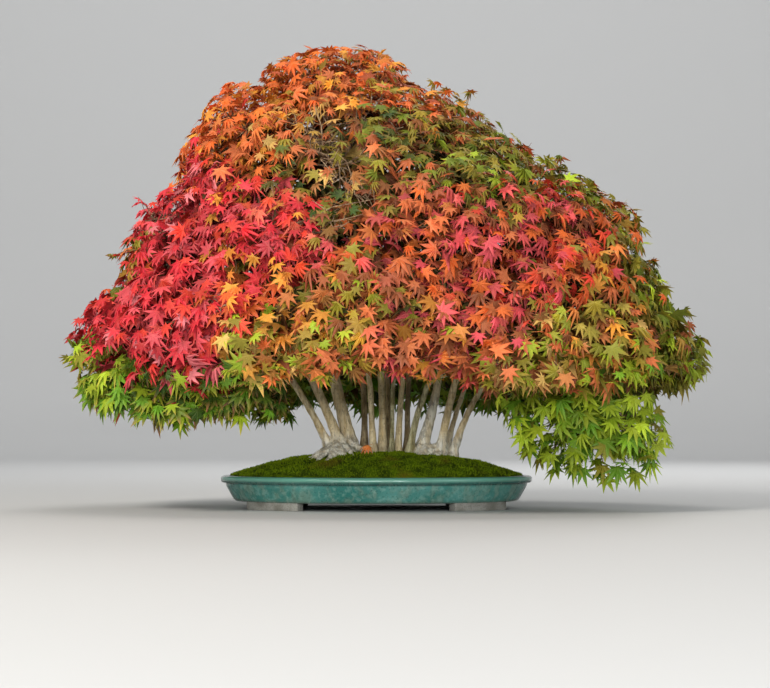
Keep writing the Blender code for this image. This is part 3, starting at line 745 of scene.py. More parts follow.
def makeFoot(sideX, sideY):
    # a bracket under the long side: one section pushed along the oval, its edges rounded
    bm = bmesh.new()
    outer, inner = (ovalRing(footForm["inset"] + w, 0) for w in (0, footForm["width"]))

    def corners(degrees):
        turn = math.radians(degrees)
        unit = Vector((sideX * math.cos(turn), sideY * math.sin(turn)))
        up = Vector((0, 0, footForm["height"]))
        front, back = outer(unit), inner(unit)
        return [front, front + up, back + up, back]

    before = corners(footForm["from"])
    face = bm.faces.new([bm.verts.new(c) for c in before])
    for step in range(1, footForm["steps"] + 1):
        made = bmesh.ops.extrude_face_region(bm, geom=[face])["geom"]
        if step > 1:
            bmesh.ops.delete(bm, geom=[face], context="FACES_ONLY")
        face = next(item for item in made if isinstance(item, bmesh.types.BMFace))
        after = corners(mixed(footForm["from"], footForm["to"], step / footForm["steps"]))
        for v in face.verts:
            v.co = after[min(range(4), key=lambda i: (before[i] - v.co).length)]
        before = after
    bmesh.ops.recalc_face_normals(bm, faces=bm.faces)
    sharp = [e for e in bm.edges if e.calc_face_angle(0) > math.radians(50)]
    edge = footForm["edge"]
    bmesh.ops.bevel(bm, geom=sharp, offset=edge, affect="EDGES", segments=2, profile=0.5, material=-1)
    return bm


def makePot():
    corners = [(inset, height, 0) for inset, height in potForm["section"]]
    section = flowing(corners, len(corners) * potForm["smoothing"])
    bm = pulledRings([ovalRing(point.x, point.y) for point in section], potForm["segments"])
    body = inScene("potBody", meshOf("potBody", bm))
    drills = bmesh.new()
    radius = potForm["drainRadius"]
    for side in (-1, 1):
        bmesh.ops.create_cone(
            drills,
            cap_ends=True,
            segments=potForm["drainSides"],
            radius1=radius,
            radius2=radius,
            depth=potForm["drillLength"],
            matrix=Matrix.Translation(
                (potMiddle.x + side * potForm["drainAt"], potMiddle.y, potForm["drillHeight"])
            ),
        )
    drill = inScene("drills", meshOf("drills", drills))
    cut = body.modifiers.new("drains", "BOOLEAN")
    cut.operation = "DIFFERENCE"
    cut.object = drill
    cut.solver = "EXACT"
    bored = appliedMesh(body)
    bpy.data.objects.remove(drill)
    bm = bmesh.new()
    bm.from_mesh(bored)
    for sideX, sideY in product((-1, 1), repeat=2):
        foot = makeFoot(sideX, sideY)
        for face in foot.faces:
            face.material_index = 1
        bm.from_mesh(meshOf("foot", foot))
    finish(bm, "ovalPot", [glaze, clay], ["pot"], potForm["smoothAngle"])


makePot()
print("pot made")


# moss

mossForm = {
    "inset": 0.0160,
    "edge": 0.0572,  # height at the lip
    "rise": 0.0400,
    "thickness": 0.0050,
    "lump": 0.0022,
    "segments": 120,
    "rings": 34,
    "tufts": 11500,
    "tuftHeight": 0.0036,
    "tuftRadius": 0.0011,
    "tuftLean": 0.55,
    "smoothAngle": 60,
}


def mossTop(x, y):
    halfX, halfY = potForm["length"] / 2 - mossForm["inset"], potForm["depth"] / 2 - mossForm["inset"]
    share = ((x - potMiddle.x) / halfX) ** 2 + ((y - potMiddle.y) / halfY) ** 2
    place = Vector((x, y, 0))
    lump = noise.noise(place * 22) * 0.7 + noise.noise(place * 60) * 0.45
    return mossForm["edge"] + mossForm["rise"] * (1 - share**1.2) + lump * mossForm["lump"]


def mossRing(share, lift):
    flat = ovalRing(mossForm["inset"], 0)

    def ring(unit):
        spot = potMiddle + (flat(unit) - potMiddle) * share
        spot.z = mossTop(spot.x, spot.y) + lift
        return spot

    return ring


def makeMoss():
    draw = seeded("moss")
    under = [mossRing(s, -mossForm["thickness"]) for s in (0.06, 0.3, 0.6, 0.85, 0.985)]
    edge = [mossRing(1.0, -0.0028), mossRing(1.004, -0.0012)]
    over = [mossRing(1.0 - step / mossForm["rings"], 0) for step in range(mossForm["rings"] - 1)]
    bm = pulledRings(under + edge + over, mossForm["segments"])
    tint = bm.verts.layers.float_color.new("tint")
    for v in bm.verts:
        v[tint] = (0, 0, 0, 1)
    tuft = bmesh.new()
    lit = tuft.verts.layers.float_color.new("tint")
    sunk = Matrix.Translation((0, 0, 0.45))
    bmesh.ops.create_cone(tuft, cap_ends=True, segments=3, radius1=1.0, radius2=0.0, depth=1.0, matrix=sunk)
    bmesh.ops.remove_doubles(tuft, verts=tuft.verts, dist=1e-4)
    # the tufts' tips are marked for the lighter green, partly painted light
    for v in tuft.verts:
        v[lit] = (1 if v.co.z > 0.5 else 0.1, 0, 0, 1)
    tuftMesh = meshOf("tuft", tuft)
    flat = ovalRing(mossForm["inset"] + 0.001, 0)
    for _ in range(mossForm["tufts"]):
        turn, share = draw.uniform(0, math.tau), math.sqrt(draw.random())
        spot = potMiddle + (flat(Vector((math.cos(turn), math.sin(turn)))) - potMiddle) * share
        spot.z = mossTop(spot.x, spot.y)
        lush = 0.7 + 0.6 * noise.noise(spot * 30)
        height = mossForm["tuftHeight"] * draw.uniform(0.6, 1.25) * lush
        width = mossForm["tuftRadius"] * draw.uniform(0.7, 1.3)
        bearing = Matrix.Rotation(draw.uniform(0, math.tau), 4, "Z")
        lean = bearing @ Matrix.Rotation(draw.uniform(0, mossForm["tuftLean"]), 4, "X")
        copy = tuftMesh.copy()
        copy.transform(Matrix.Translation(spot) @ lean @ Matrix.Diagonal((width, width, height, 1)))
        bm.from_mesh(copy)
        bpy.data.meshes.remove(copy)
    finish(bm, "mossCushion", [mossGreen], ["moss"], mossForm["smoothAngle"])


makeMoss()
hiddenPieces = {"soil": soilGrains, "drain_screen_left": screenPlastic, "drain_screen_right": screenPlastic}
for hiddenName, hiddenMaterial in hiddenPieces.items():
    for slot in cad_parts[hiddenName].material_slots:
        slot.material = hiddenMaterial
print("moss and soil made")


# wood

# foot on the mound and waist, from the pot's middle; radius at the waist; the spray it ends in;
# limbs as (share of the way up, spray)
leftStems = [
    {
        "foot": (-0.078, -0.006), "waist": (-0.143, -0.030, 0.217), "radius": 0.0072,
        "spray": "low_left", "limbs": [(0.55, "skirt_left")],
    },
    {
        "foot": (-0.058, -0.012), "waist": (-0.112, -0.022, 0.224), "radius": 0.0100,
        "spray": "mid_left", "limbs": [(0.50, "mid_front_left")],
    },
    {
        "foot": (-0.043, 0.010), "waist": (-0.072, 0.020, 0.224), "radius": 0.0140,
        "spray": "apex", "limbs": [(0.45, "upper_left"), (0.38, "mid_back_left")],
    },
]
rightStems = [
    {
        "foot": (0.078, 0.004), "waist": (0.099, 0.008, 0.180), "radius": 0.0112,
        "spray": "upper_right", "limbs": [],
    },
    {
        "foot": (0.1095, -0.008), "waist": (0.1276, -0.024, 0.190), "radius": 0.0085,
        "spray": "mid_right", "limbs": [],
    },
    {
        "foot": (0.1215, 0.024), "waist": (0.147, 0.040, 0.190), "radius": 0.0052,
        "spray": "low_back_right", "limbs": [],
    },
    {
        "foot": (0.132, 0.002), "waist": (0.172, 0.000, 0.189), "radius": 0.0065,
        "spray": "low_right", "limbs": [(0.45, "skirt_right")],
    },
]
singleStems = {
    "trunk_rear_left": {
        "foot": (-0.0215, 0.040), "waist": (-0.0236, 0.060, 0.215), "radius": 0.0060,
        "spray": "low_back_left", "limbs": [], "bark": "shadeBark",
    },
    "trunk_front_left": {
        "foot": (-0.0050, -0.014), "waist": (-0.0147, -0.030, 0.229), "radius": 0.0055,
        "spray": "low_front_left", "limbs": [], "bark": "paleBark",
    },
    "trunk_centre": {
        "foot": (0.0100, 0.014), "waist": (0.0090, 0.010, 0.224), "radius": 0.0070,
        "spray": "upper_front", "limbs": [], "bark": "paleBark",
    },
    "trunk_rear_centre": {
        "foot": (0.0200, 0.046), "waist": (0.0180, 0.060, 0.224), "radius": 0.0050,
        "spray": "upper_back", "limbs": [(0.40, "low_back")], "bark": "shadeBark",
    },
    "trunk_thin_front": {
        "foot": (0.0246, -0.018), "waist": (0.0290, -0.045, 0.200), "radius": 0.0036,
        "spray": "low_front", "limbs": [], "bark": "mottledBark",
    },
    "trunk_right_of_centre": {
        "foot": (0.0370, 0.006), "waist": (0.0450, 0.000, 0.224), "radius": 0.0055,
        "spray": "mid_front_right", "limbs": [], "bark": "paleBark",
    },
    "trunk_rear_right": {
        "foot": (0.0530, 0.038), "waist": (0.0560, 0.060, 0.224), "radius": 0.0050,
        "spray": "mid_back_right", "limbs": [], "bark": "shadeBark",
    },
    "trunk_mottled": {
        "foot": (0.0570, -0.012), "waist": (0.0780, -0.030, 0.185), "radius": 0.0060,
        "spray": "low_front_right", "limbs": [], "bark": "mottledBark",
    },
}
# surface roots as (bearing in degrees, reach, radius at the trunk)
leftRoots = {
    "middle": (-0.058, -0.006),
    "top": 0.118,
    "roots": [
        (-176, 0.050, 0.0055), (-158, 0.056, 0.0050), (-142, 0.076, 0.0052), (-128, 0.080, 0.0070),
        (-118, 0.090, 0.0078), (-108, 0.088, 0.0078), (-98, 0.062, 0.0080), (-86, 0.054, 0.0078),
        (-75, 0.058, 0.0068), (-34, 0.066, 0.0070), (-14, 0.040, 0.0060), (20, 0.036, 0.0075),
        (55, 0.060, 0.0085), (88, 0.066, 0.0080), (122, 0.062, 0.0085), (152, 0.052, 0.0070),
    ],
}
rightRoots = {
    "middle": (0.086, -0.002),
    "top": 0.107,
    "roots": [
        (-172, 0.018, 0.0060), (-150, 0.030, 0.0080), (-128, 0.026, 0.0065), (-104, 0.030, 0.0085),
        (-80, 0.026, 0.0060), (-58, 0.034, 0.0070), (-30, 0.046, 0.0058), (-4, 0.050, 0.0060),
        (35, 0.045, 0.0070), (80, 0.040, 0.0080), (130, 0.030, 0.0080),
    ],
}
woodForm = {
    "rootDepth": 0.068,
    "ground": 0.100,
    "tip": 0.0030,
    "flare": 0.55,
    "flareHeight": 0.016,
    "knots": 80,
    "wobble": 0.0022,
    "grain": 0.0011,
    "fluteTop": 0.130,  # below it the roots are fluted deeper
    "fluteFade": 0.022,
    "fluteDepth": 2.3,
    "voxel": 0.0024,
    "sides": 12,
    "smoothing": 3,
    "limbKnots": 14,
    "rootKnots": 9,
    "rootWave": 0.0035,
    "rootSink": 0.0030,  # how far a root's end lies under the moss
}


def sprayMiddle(name):
    low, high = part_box("spray_" + name)
    return (low + high) / 2


def fromPot(point):
    return Vector((point[0] + potMiddle.x, point[1] + potMiddle.y, point[2]))


def wandering(line, amount, key):
    # bends a line a little, more in its middle, as grown wood bends
    shift = sum(ord(letter) for letter in key)
    bent = []
    for i, point in enumerate(line):
        share = math.sin(math.pi * min(i / (len(line) - 1) * 1.2, 1.0))
        spot = Vector((point.x + shift, point.y, point.z)) * 11
        sway = Vector(noise.noise(spot + Vector((0, 0, apart))) for apart in (0, 40, 80))
        bent.append(point + Vector((sway.x, sway.y, sway.z * 0.3)) * amount * share)
    return bent


def stemStrokes(stem, key):
    # the stem from under the moss to its spray, and its limbs, as lists of (point, radius)
    foot = stem["foot"]
    waist = fromPot(stem["waist"])
    start = fromPot((*foot, woodForm["rootDepth"]))
    collar = fromPot((*foot, woodForm["ground"])).lerp(waist, 0.08)
    goal = sprayMiddle(stem["spray"])
    above = (waist + (waist - collar) * 0.45).lerp(goal, 0.10)
    guide = [start, collar, waist, above, waist.lerp(goal, 0.72), goal]
    line = wandering(flowing(guide, woodForm["knots"]), woodForm["wobble"], key)
    radius = stem["radius"]
    stroke = []
    for i, point in enumerate(line):
        thin = mixed(radius * 1.12, woodForm["tip"], (i / (len(line) - 1)) ** 0.85)
        rise = max(point.z - woodForm["ground"], 0)
        flare = 1 + woodForm["flare"] * math.exp(-rise / woodForm["flareHeight"])
        knobs = 1 + 0.07 * noise.noise(Vector((point.z * 60, sum(map(ord, key)), 0)))
        stroke.append((point, thin * flare * knobs))
    strokes = [stroke]
    for share, spray in stem["limbs"]:
        at = round(share * (len(line) - 1))
        begin, size = stroke[at]
        along = (line[at + 1] - line[at - 1]).normalized()
        end = sprayMiddle(spray)
        lead = (begin + along * 0.03).lerp(end, 0.15)
        knots = woodForm["limbKnots"]
        guide = [begin, lead, begin.lerp(end, 0.6) + Vector((0, 0, 0.012)), end]
        limb = wandering(flowing(guide, knots), woodForm["wobble"], key + spray)
        first = min(size * 0.8, radius)
        thins = [mixed(first, woodForm["tip"], i / (knots - 1)) for i in range(knots)]
        strokes.append(list(zip(limb, thins)))
    return strokes


def rootStrokes(form):
    strokes = []
    middle = Vector((*form["middle"], 0))
    for i, (bearing, reach, radius) in enumerate(form["roots"]):
        turn = math.radians(bearing)
        out = Vector((math.cos(turn), math.sin(turn), 0))
        stroke = []
        for step in range(woodForm["rootKnots"]):
            share = step / (woodForm["rootKnots"] - 1)
            side = Vector((-out.y, out.x, 0)) * math.sin(share * 5 + i * 2.1) * woodForm["rootWave"] * share
            spot = fromPot(middle + out * (0.010 + reach * share) + side)
            ground = mossTop(spot.x, spot.y)
            spot.z = mixed(form["top"], ground - woodForm["rootSink"], min(share * 1.06, 1.0) ** 0.62)
            stroke.append((spot, radius * mixed(1.0, 0.42, share)))
        strokes.append(stroke)
    return strokes


def grooveWood(bm, amount):
    # long grooves and small knobs pushed into the surface
    bm.normal_update()
    moved = {}
    for v in bm.verts:
        place = v.co
        groove = noise.noise(Vector((place.x * 210, place.y * 210, place.z * 42)))
        knob = noise.noise(place * 85)
        low = smoothStep((woodForm["fluteTop"] - place.z) / woodForm["fluteFade"])
        moved[v] = v.normal * (groove * 0.75 + knob * 0.5) * amount * (1 + woodForm["fluteDepth"] * low)
    for v, shift in moved.items():
        v.co += shift


def makeClump(name, cadNode, stems, roots, bark):
    # stems and roots drawn as tubes, grown together with one skin
    strokes = [stroke for i, stem in enumerate(stems) for stroke in stemStrokes(stem, f"{name}{i}")]
    bm = branchMesh(strokes + rootStrokes(roots), woodForm["sides"])
    holder = inScene(name, meshOf(name, bm))
    skin = holder.modifiers.new("skin", "REMESH")
    skin.mode = "VOXEL"
    skin.voxel_size = woodForm["voxel"]
    merged = appliedMesh(holder)
    bm = bmesh.new()
    bm.from_mesh(merged)
    for _ in range(woodForm["smoothing"]):
        bmesh.ops.smooth_vert(bm, verts=bm.verts, factor=0.5, use_axis_x=True, use_axis_y=True, use_axis_z=True)
    grooveWood(bm, woodForm["grain"])
    finish(bm, name, [barkMaterials[bark]], [cadNode], 180)


def makeSingleStem(cadNode, stem):
    bm = branchMesh(stemStrokes(stem, cadNode), woodForm["sides"])
    grooveWood(bm, woodForm["grain"] * 0.6)
    finish(bm, camelCase(cadNode), [barkMaterials[stem["bark"]]], [cadNode], 180)


makeClump("leftClump", "left_clump", leftStems, leftRoots, "rootBark")
makeClump("rightClump", "right_clump", rightStems, rightRoots, "knobbedBark")
for stemName, stemForm in singleStems.items():
    makeSingleStem(stemName, stemForm)
print("wood made")


# one leaf

# outline of half a leaf from the middle lobe's tip round to the stalk: (degrees, reach, part)
leafOutline = [
    (0, 1.00, "tip"), (11.5, 0.60, "side"), (20, 0.42, "notch"), (29, 0.57, "side"),
    (40, 0.95, "tip"), (51, 0.55, "side"), (60, 0.39, "notch"), (69, 0.49, "side"),
    (80, 0.78, "tip"), (100, 0.31, "notch"), (124, 0.52, "low"), (180, 0.08, "notch"),
]
plainOutline = [
    (0, 1.00, "tip"), (20, 0.46, "notch"), (40, 0.94, "tip"), (60, 0.43, "notch"),
    (80, 0.78, "tip"), (101, 0.33, "notch"), (124, 0.48, "low"), (180, 0.10, "notch"),
]
leafForms = {
    "spread": {
        "outline": leafOutline, "droop": 0.14, "curl": 0.12,
        "fold": 0.09, "wide": 1.00, "stalk": 0.80,
    },
    "hanging": {
        "outline": leafOutline, "droop": 0.32, "curl": 0.26,
        "fold": 0.12, "wide": 0.92, "stalk": 0.75,
    },
    "cupped": {
        "outline": leafOutline, "droop": -0.22, "curl": 0.50,
        "fold": -0.11, "wide": 0.95, "stalk": 0.70,
    },
    "furled": {
        "outline": leafOutline, "droop": 0.40, "curl": 0.62,
        "fold": 0.20, "wide": 0.72, "stalk": 0.75,
    },
    "inner": {
        "outline": plainOutline, "droop": 0.22, "curl": 0.20,
        "fold": 0.10, "wide": 1.00, "stalk": 0.0,
    },
}
leafThickness = 0.010  # in shares of the leaf's reach
stalkForm = {"lean": 118, "start": (0, -0.03, -0.005), "thick": 0.022, "thin": 0.014, "sides": 3}


def makeLeaf(name, form):
    # a fan of facets for the upper side and one for the under side, joined along a shared outline
    bm = bmesh.new()
    leafMap = bm.loops.layers.uv.new("leafMap")
    tint = bm.verts.layers.float_color.new("tint")
    draw = seeded(name)
    outline = form["outline"]
    points = [(degrees, reach * draw.uniform(0.94, 1.05), part) for degrees, reach, part in outline]
    points += [(-degrees, reach * draw.uniform(0.93, 1.06), part) for degrees, reach, part in outline[-2:0:-1]]
    drop = {"tip": 0.0, "low": 0.0, "side": form["fold"], "notch": form["fold"] * 0.35}
    for side in (1, -1):
        made = bmesh.ops.create_circle(bm, cap_ends=True, cap_tris=True, segments=len(points), radius=1.0)
        disc = made["verts"]
        middle = min(disc, key=lambda v: v.co.length)
        rim = sorted((v for v in disc if v is not middle), key=lambda v: math.atan2(v.co.x, v.co.y) % math.tau)
        middle.co.z = side * leafThickness / 2
        for v, (degrees, reach, part) in zip(rim, points):
            turn = math.radians(degrees * form["wide"])
            fall = form["droop"] * reach**2 + form["curl"] * reach**4 + drop[part] * reach
            v.co = (math.sin(turn) * reach, math.cos(turn) * reach, -fall)
        if side == 1 and form["stalk"]:
            tips = [v for v, point in zip(rim, points) if point[2] == "tip"]
            ribs = [e for v in tips for e in v.link_edges if middle in e.verts]
            cut = bmesh.ops.subdivide_edges(bm, edges=ribs, cuts=1, use_single_edge=True)["geom_inner"]
            for v in {item for item in cut if isinstance(item, bmesh.types.BMVert)}:
                reach = v.co.xy.length
                v.co.z = -(form["droop"] * reach**2 + form["curl"] * reach**4) + form["fold"] * 0.12
    bmesh.ops.remove_doubles(bm, verts=bm.verts, dist=1e-4)
    bmesh.ops.recalc_face_normals(bm, faces=bm.faces)
    if form["stalk"]:
        lean = Matrix.Rotation(math.radians(stalkForm["lean"]), 4, "X")
        down = Matrix.Translation((0, 0, form["stalk"] / 2))
        bmesh.ops.create_cone(
            bm,
            cap_ends=True,
            segments=stalkForm["sides"],
            radius1=stalkForm["thick"],
            radius2=stalkForm["thin"],
            depth=form["stalk"],
            matrix=Matrix.Translation(stalkForm["start"]) @ lean @ down,
        )
    for face in bm.faces:
        for loop in face.loops:
            loop[leafMap].uv = (0.5 + loop.vert.co.x / 2.2, 0.5 + loop.vert.co.y / 2.2)
    for v in bm.verts:
        v[tint] = (1, 1, 1, 1)
    return meshOf(name, bm)


leafMeshes = {name: makeLeaf(name, form) for name, form in leafForms.items()}
print("leaf shapes:", {name: len(mesh.polygons) for name, mesh in leafMeshes.items()})


# crown

hues = {
    "crimson": "#cf2636",
    "scarlet": "#dc3a2c",
    "rose": "#dc4f5a",
    "pink": "#ea7f86",
    "orange": "#e0682a",
    "rust": "#ab461e",
    "amber": "#e39a34",
    "salmon": "#d4703f",
    "browned": "#97512f",
    "straw": "#d8b060",
    "olive": "#8f8628",
    "moss": "#68781d",
    "lime": "#a6be2a",
    "green": "#6a9c20",
    # deep: a dark green, used as painted shade inside and under the crown
    "deep": "#34501a",
}
# where a colour mix sits from the pot's middle, how far it reaches, and its hues with their shares; the deep
# green in the low zones on the left and under the crown is painted shade
colourZones = [
    ((-0.06, -0.05, 0.76), 0.16, {"orange": 5, "rust": 2, "amber": 2, "salmon": 2, "olive": 1}),
    ((-0.24, -0.05, 0.64), 0.14, {"orange": 6, "salmon": 3, "amber": 3, "scarlet": 1}),
    ((-0.17, -0.20, 0.63), 0.09, {"orange": 5, "amber": 3, "salmon": 3, "straw": 1}),
    ((0.07, -0.14, 0.70), 0.09, {"orange": 4, "salmon": 3, "amber": 1, "olive": 2, "rust": 1}),
    ((0.15, -0.16, 0.63), 0.10, {"olive": 6, "moss": 3, "browned": 2, "straw": 1, "salmon": 1}),
    ((0.02, -0.28, 0.62), 0.06, {"olive": 3, "moss": 2, "browned": 2, "deep": 2}),
    ((0.20, -0.22, 0.56), 0.12, {"olive": 6, "moss": 3, "lime": 2, "browned": 2}),
    ((0.28, -0.08, 0.57), 0.14, {"olive": 6, "moss": 3, "lime": 1, "browned": 2, "rust": 2}),
    ((-0.10, -0.28, 0.57), 0.08, {"straw": 3, "salmon": 2, "browned": 2, "olive": 2, "deep": 2}),
    ((-0.06, -0.34, 0.49), 0.06, {"browned": 3, "olive": 2, "salmon": 2, "deep": 1.5, "moss": 1}),
    ((-0.30, -0.10, 0.50), 0.12, {"crimson": 6, "scarlet": 3, "rose": 3, "pink": 1.5}),
    ((-0.17, -0.32, 0.45), 0.10, {"crimson": 5, "rose": 3, "scarlet": 3, "amber": 1}),
    ((-0.41, -0.10, 0.40), 0.08, {"crimson": 4, "scarlet": 2, "orange": 3, "olive": 2, "moss": 1.5}),
    ((-0.43, -0.12, 0.33), 0.10, {"crimson": 7, "rose": 2, "scarlet": 2}),
    ((-0.30, -0.26, 0.30), 0.11, {"crimson": 6, "scarlet": 3, "rose": 2, "pink": 1}),
    ((-0.20, -0.32, 0.35), 0.08, {"scarlet": 4, "orange": 3, "crimson": 3, "amber": 1}),
    ((0.05, -0.36, 0.46), 0.11, {"salmon": 4, "orange": 3, "rose": 2, "browned": 2, "olive": 1}),
    ((0.03, -0.34, 0.56), 0.09, {"salmon": 3, "browned": 3, "moss": 2, "olive": 1}),
    ((0.28, -0.25, 0.48), 0.12, {"scarlet": 3, "rose": 3, "browned": 2, "orange": 2, "olive": 1}),
    ((0.40, -0.12, 0.50), 0.09, {"olive": 4, "rust": 2, "orange": 2, "moss": 1}),
    ((0.16, -0.36, 0.37), 0.12, {"salmon": 3, "rose": 3, "orange": 2, "browned": 2, "scarlet": 1}),
    ((0.34, -0.25, 0.38), 0.08, {"orange": 4, "scarlet": 2, "salmon": 2, "olive": 2, "amber": 1}),
    ((-0.08, -0.40, 0.30), 0.11, {"amber": 2, "olive": 3, "salmon": 3, "lime": 1.5, "browned": 2}),
    ((0.03, -0.42, 0.31), 0.08, {"salmon": 4, "browned": 3, "olive": 2, "rose": 1}),
    ((0.10, -0.42, 0.25), 0.10, {"salmon": 3, "rose": 3, "browned": 2, "lime": 1, "amber": 1.5, "olive": 1.5}),
    ((0.17, -0.40, 0.31), 0.08, {"rose": 3, "salmon": 3, "browned": 2, "orange": 1}),
    ((0.44, -0.10, 0.43), 0.12, {"olive": 6, "orange": 2, "moss": 3, "lime": 1, "rust": 1}),
    ((0.34, -0.27, 0.30), 0.10, {"olive": 6, "amber": 2, "salmon": 2, "lime": 2, "straw": 1, "browned": 1}),
    ((0.24, -0.36, 0.25), 0.08, {"olive": 3, "straw": 2, "salmon": 2, "browned": 2, "lime": 2}),
    ((0.48, -0.10, 0.28), 0.12, {"olive": 3, "lime": 3, "moss": 3, "browned": 1}),
    ((0.36, -0.20, 0.15), 0.13, {"lime": 5, "green": 4, "olive": 1}),
    ((-0.49, -0.12, 0.245), 0.075, {"lime": 5, "green": 4, "olive": 1}),
    ((-0.40, -0.20, 0.195), 0.07, {"green": 5, "lime": 4, "deep": 2}),
    ((-0.30, -0.25, 0.185), 0.075, {"green": 4, "lime": 3, "deep": 4}),
    ((-0.335, -0.24, 0.165), 0.05, {"lime": 5, "green": 2}),
    ((-0.20, -0.30, 0.19), 0.085, {"deep": 6, "green": 4, "lime": 1.5, "moss": 2}),
    ((-0.15, -0.37, 0.27), 0.075, {"lime": 3, "olive": 3, "amber": 3, "orange": 2, "straw": 2}),
    ((0.00, -0.10, 0.22), 0.16, {"deep": 4, "green": 3, "moss": 2}),
    ((0.00, 0.22, 0.66), 0.18, {"orange": 4, "rust": 3, "olive": 3, "amber": 1}),
    ((-0.24, 0.28, 0.46), 0.17, {"scarlet": 3, "orange": 3, "olive": 2, "browned": 2}),
    ((0.20, 0.28, 0.46), 0.18, {"olive": 4, "browned": 2, "salmon": 2, "moss": 2}),
    ((0.00, 0.34, 0.26), 0.26, {"green": 4, "moss": 3, "lime": 2, "olive": 2}),
]
zonePlaces = [(fromPot(at), reach, shares) for at, reach, shares in colourZones]
hueColours = {name: Vector(colourOf(code)[:3]) for name, code in hues.items()}

# the dome's outline, from the pot's middle: height, then reach to the left, right, front and back
crownOutline = [
    (0.215, 0.440, 0.470, 0.400, 0.370),
    (0.235, 0.490, 0.556, 0.425, 0.395),
    (0.285, 0.522, 0.550, 0.430, 0.405),
    (0.342, 0.500, 0.514, 0.415, 0.398),
    (0.424, 0.440, 0.476, 0.395, 0.380),
    (0.514, 0.398, 0.440, 0.355, 0.345),
    (0.592, 0.350, 0.300, 0.305, 0.300),
    (0.669, 0.304, 0.190, 0.235, 0.235),
    (0.730, 0.236, 0.105, 0.165, 0.165),
    (0.772, 0.165, 0.040, 0.100, 0.100),
    (0.792, 0.100, -0.035, 0.040, 0.040),
]
crownForm = {
    "leaves": 12150,
    # leaves deep in the dome that close its gaps; leafColour darkens them with painted shade
    "inner": 4200,
    "depth": 0.050,  # how deep the outer leaves reach into the dome
    "innerDepth": (0.036, 0.105),
    # places where the crown opens on bare twigs: from the pot's middle, and how wide
    "hollows": [
        ((-0.112, -0.235, 0.630), 0.034),
        ((-0.070, -0.290, 0.560), 0.048),
        ((-0.020, -0.330, 0.505), 0.030),
        ((-0.050, -0.350, 0.465), 0.022),
    ],
    "crease": 0.020,  # how far the surface falls back between two sprays
    "creaseWidth": 0.05,
    "creaseBare": 0.2,  # share of leaves left out there
    "ceilingBare": 0.45,  # share of leaves left out on the crown's underside
    "bareBelow": -0.5,  # noise level under which no leaf grows
    "tuftSize": 0.011,
    "lumpSize": 0.016,
    "rimWave": 0.030,
    "reachLow": 0.0248,  # a leaf's reach near the pot and at the top
    "reachHigh": 0.0198,
    "segments": 72,
    "smoothAngle": 75,
    # how high the rim is at each bearing
    "rim": {
        0: 0.210, 45: 0.165, 90: 0.165, 135: 0.165,
        180: 0.185, 225: 0.190, 270: 0.215, 315: 0.195,
    },
}
# boughs that hang below the dome's rim
skirts = {
    "skirt_right": {
        "middle": (0.352, -0.155, 0.150), "half": (0.138, 0.120, 0.100),
        "slant": 0.036, "leaves": 430,
    },
    "skirt_left": {
        "middle": (-0.365, -0.110, 0.205), "half": (0.135, 0.120, 0.045),
        "slant": 0, "leaves": 270,
    },
    "low_front_left": {
        "middle": (-0.215, -0.220, 0.195), "half": (0.080, 0.090, 0.045),
        "slant": 0, "leaves": 110,
    },
    "low_left": {
        "middle": (-0.335, -0.230, 0.172), "half": (0.060, 0.040, 0.030),
        "slant": 0, "leaves": 46,
    },
}
# single shoots that stand clear of the crown, by their tips
shoots = [
    (-0.250, -0.06, 0.716), (-0.402, -0.08, 0.528), (-0.447, -0.06, 0.430), (0.426, -0.05, 0.522),
    (0.470, -0.07, 0.428), (0.522, -0.08, 0.338), (0.160, -0.10, 0.706), (0.310, -0.08, 0.600),
]
sprayColours = {
    "apex": "orange", "upper_left": "orange", "upper_front": "orange", "upper_back": "orange",
    "upper_right": "olive", "mid_right": "olive", "mid_back_right": "olive", "low_right": "olive",
    "mid_left": "crimson", "mid_front_left": "crimson", "mid_back_left": "crimson", "low_left": "crimson",
    "low_front_left": "crimson", "mid_front_right": "pink", "low_front": "pink", "low_front_right": "pink",
    "low_back_right": "green", "low_back": "green", "low_back_left": "green",
    "skirt_right": "green", "skirt_left": "green",
}
sprayPlaces = {name: sprayMiddle(name) for name in sprayColours}
domeSprays = [name for name in sprayColours if not name.startswith("skirt")]
outerShapes = ("spread", "hanging", "cupped", "furled")


def rimHeight(turn):
    degrees = math.degrees(turn) % 360
    first = int(degrees // 45) * 45
    rim = crownForm["rim"]
    return mixed(rim[first], rim[(first + 45) % 360], smoothStep((degrees - first) / 45))


def domeRing(level):
    height, left, right, front, back = level

    def ring(unit):
        x = (right - left) / 2 + unit.x * (right + left) / 2
        y = (back - front) / 2 + unit.y * (back + front) / 2
        low = crownOutline[0][0]
        ragged = noise.noise(Vector((unit.x * 4.2, unit.y * 4.2, 3.7))) * crownForm["rimWave"]
        drop = (rimHeight(math.atan2(unit.y, unit.x)) + ragged - low) * smoothStep(1 - (height - low) / 0.12)
        return fromPot((x, y, height + drop))

    return ring


def ceilingRing(share, lift):
    base = domeRing(crownOutline[0])

    def ring(unit):
        spot = base(unit)
        x = potMiddle.x + (spot.x - potMiddle.x) * share
        y = potMiddle.y + (spot.y - potMiddle.y) * share
        return Vector((x, y, spot.z + lift))

    return ring


def makeDome():
    # a guide for the leaves alone: the crown's surface, and its hollow ceiling over the trunks
    ceiling = [ceilingRing(0.28, 0.085), ceilingRing(0.52, 0.060), ceilingRing(0.80, 0.022)]
    return pulledRings(ceiling + [domeRing(level) for level in crownOutline], crownForm["segments"])


def surfaceTriangles(bm):
    # each face as a fan, in an order that hangs on their places alone, so every run draws the same leaves
    fans = []
    for face in bm.faces:
        corners = [v.co.copy() for v in face.verts]
        first = corners.index(min(corners, key=tuple))
        corners = corners[first:] + corners[:first]
        fans += [(corners[0], b, c) for b, c in zip(corners[1:], corners[2:])]
    bm.free()
    return sorted(fans, key=lambda fan: [tuple(corner) for corner in fan])


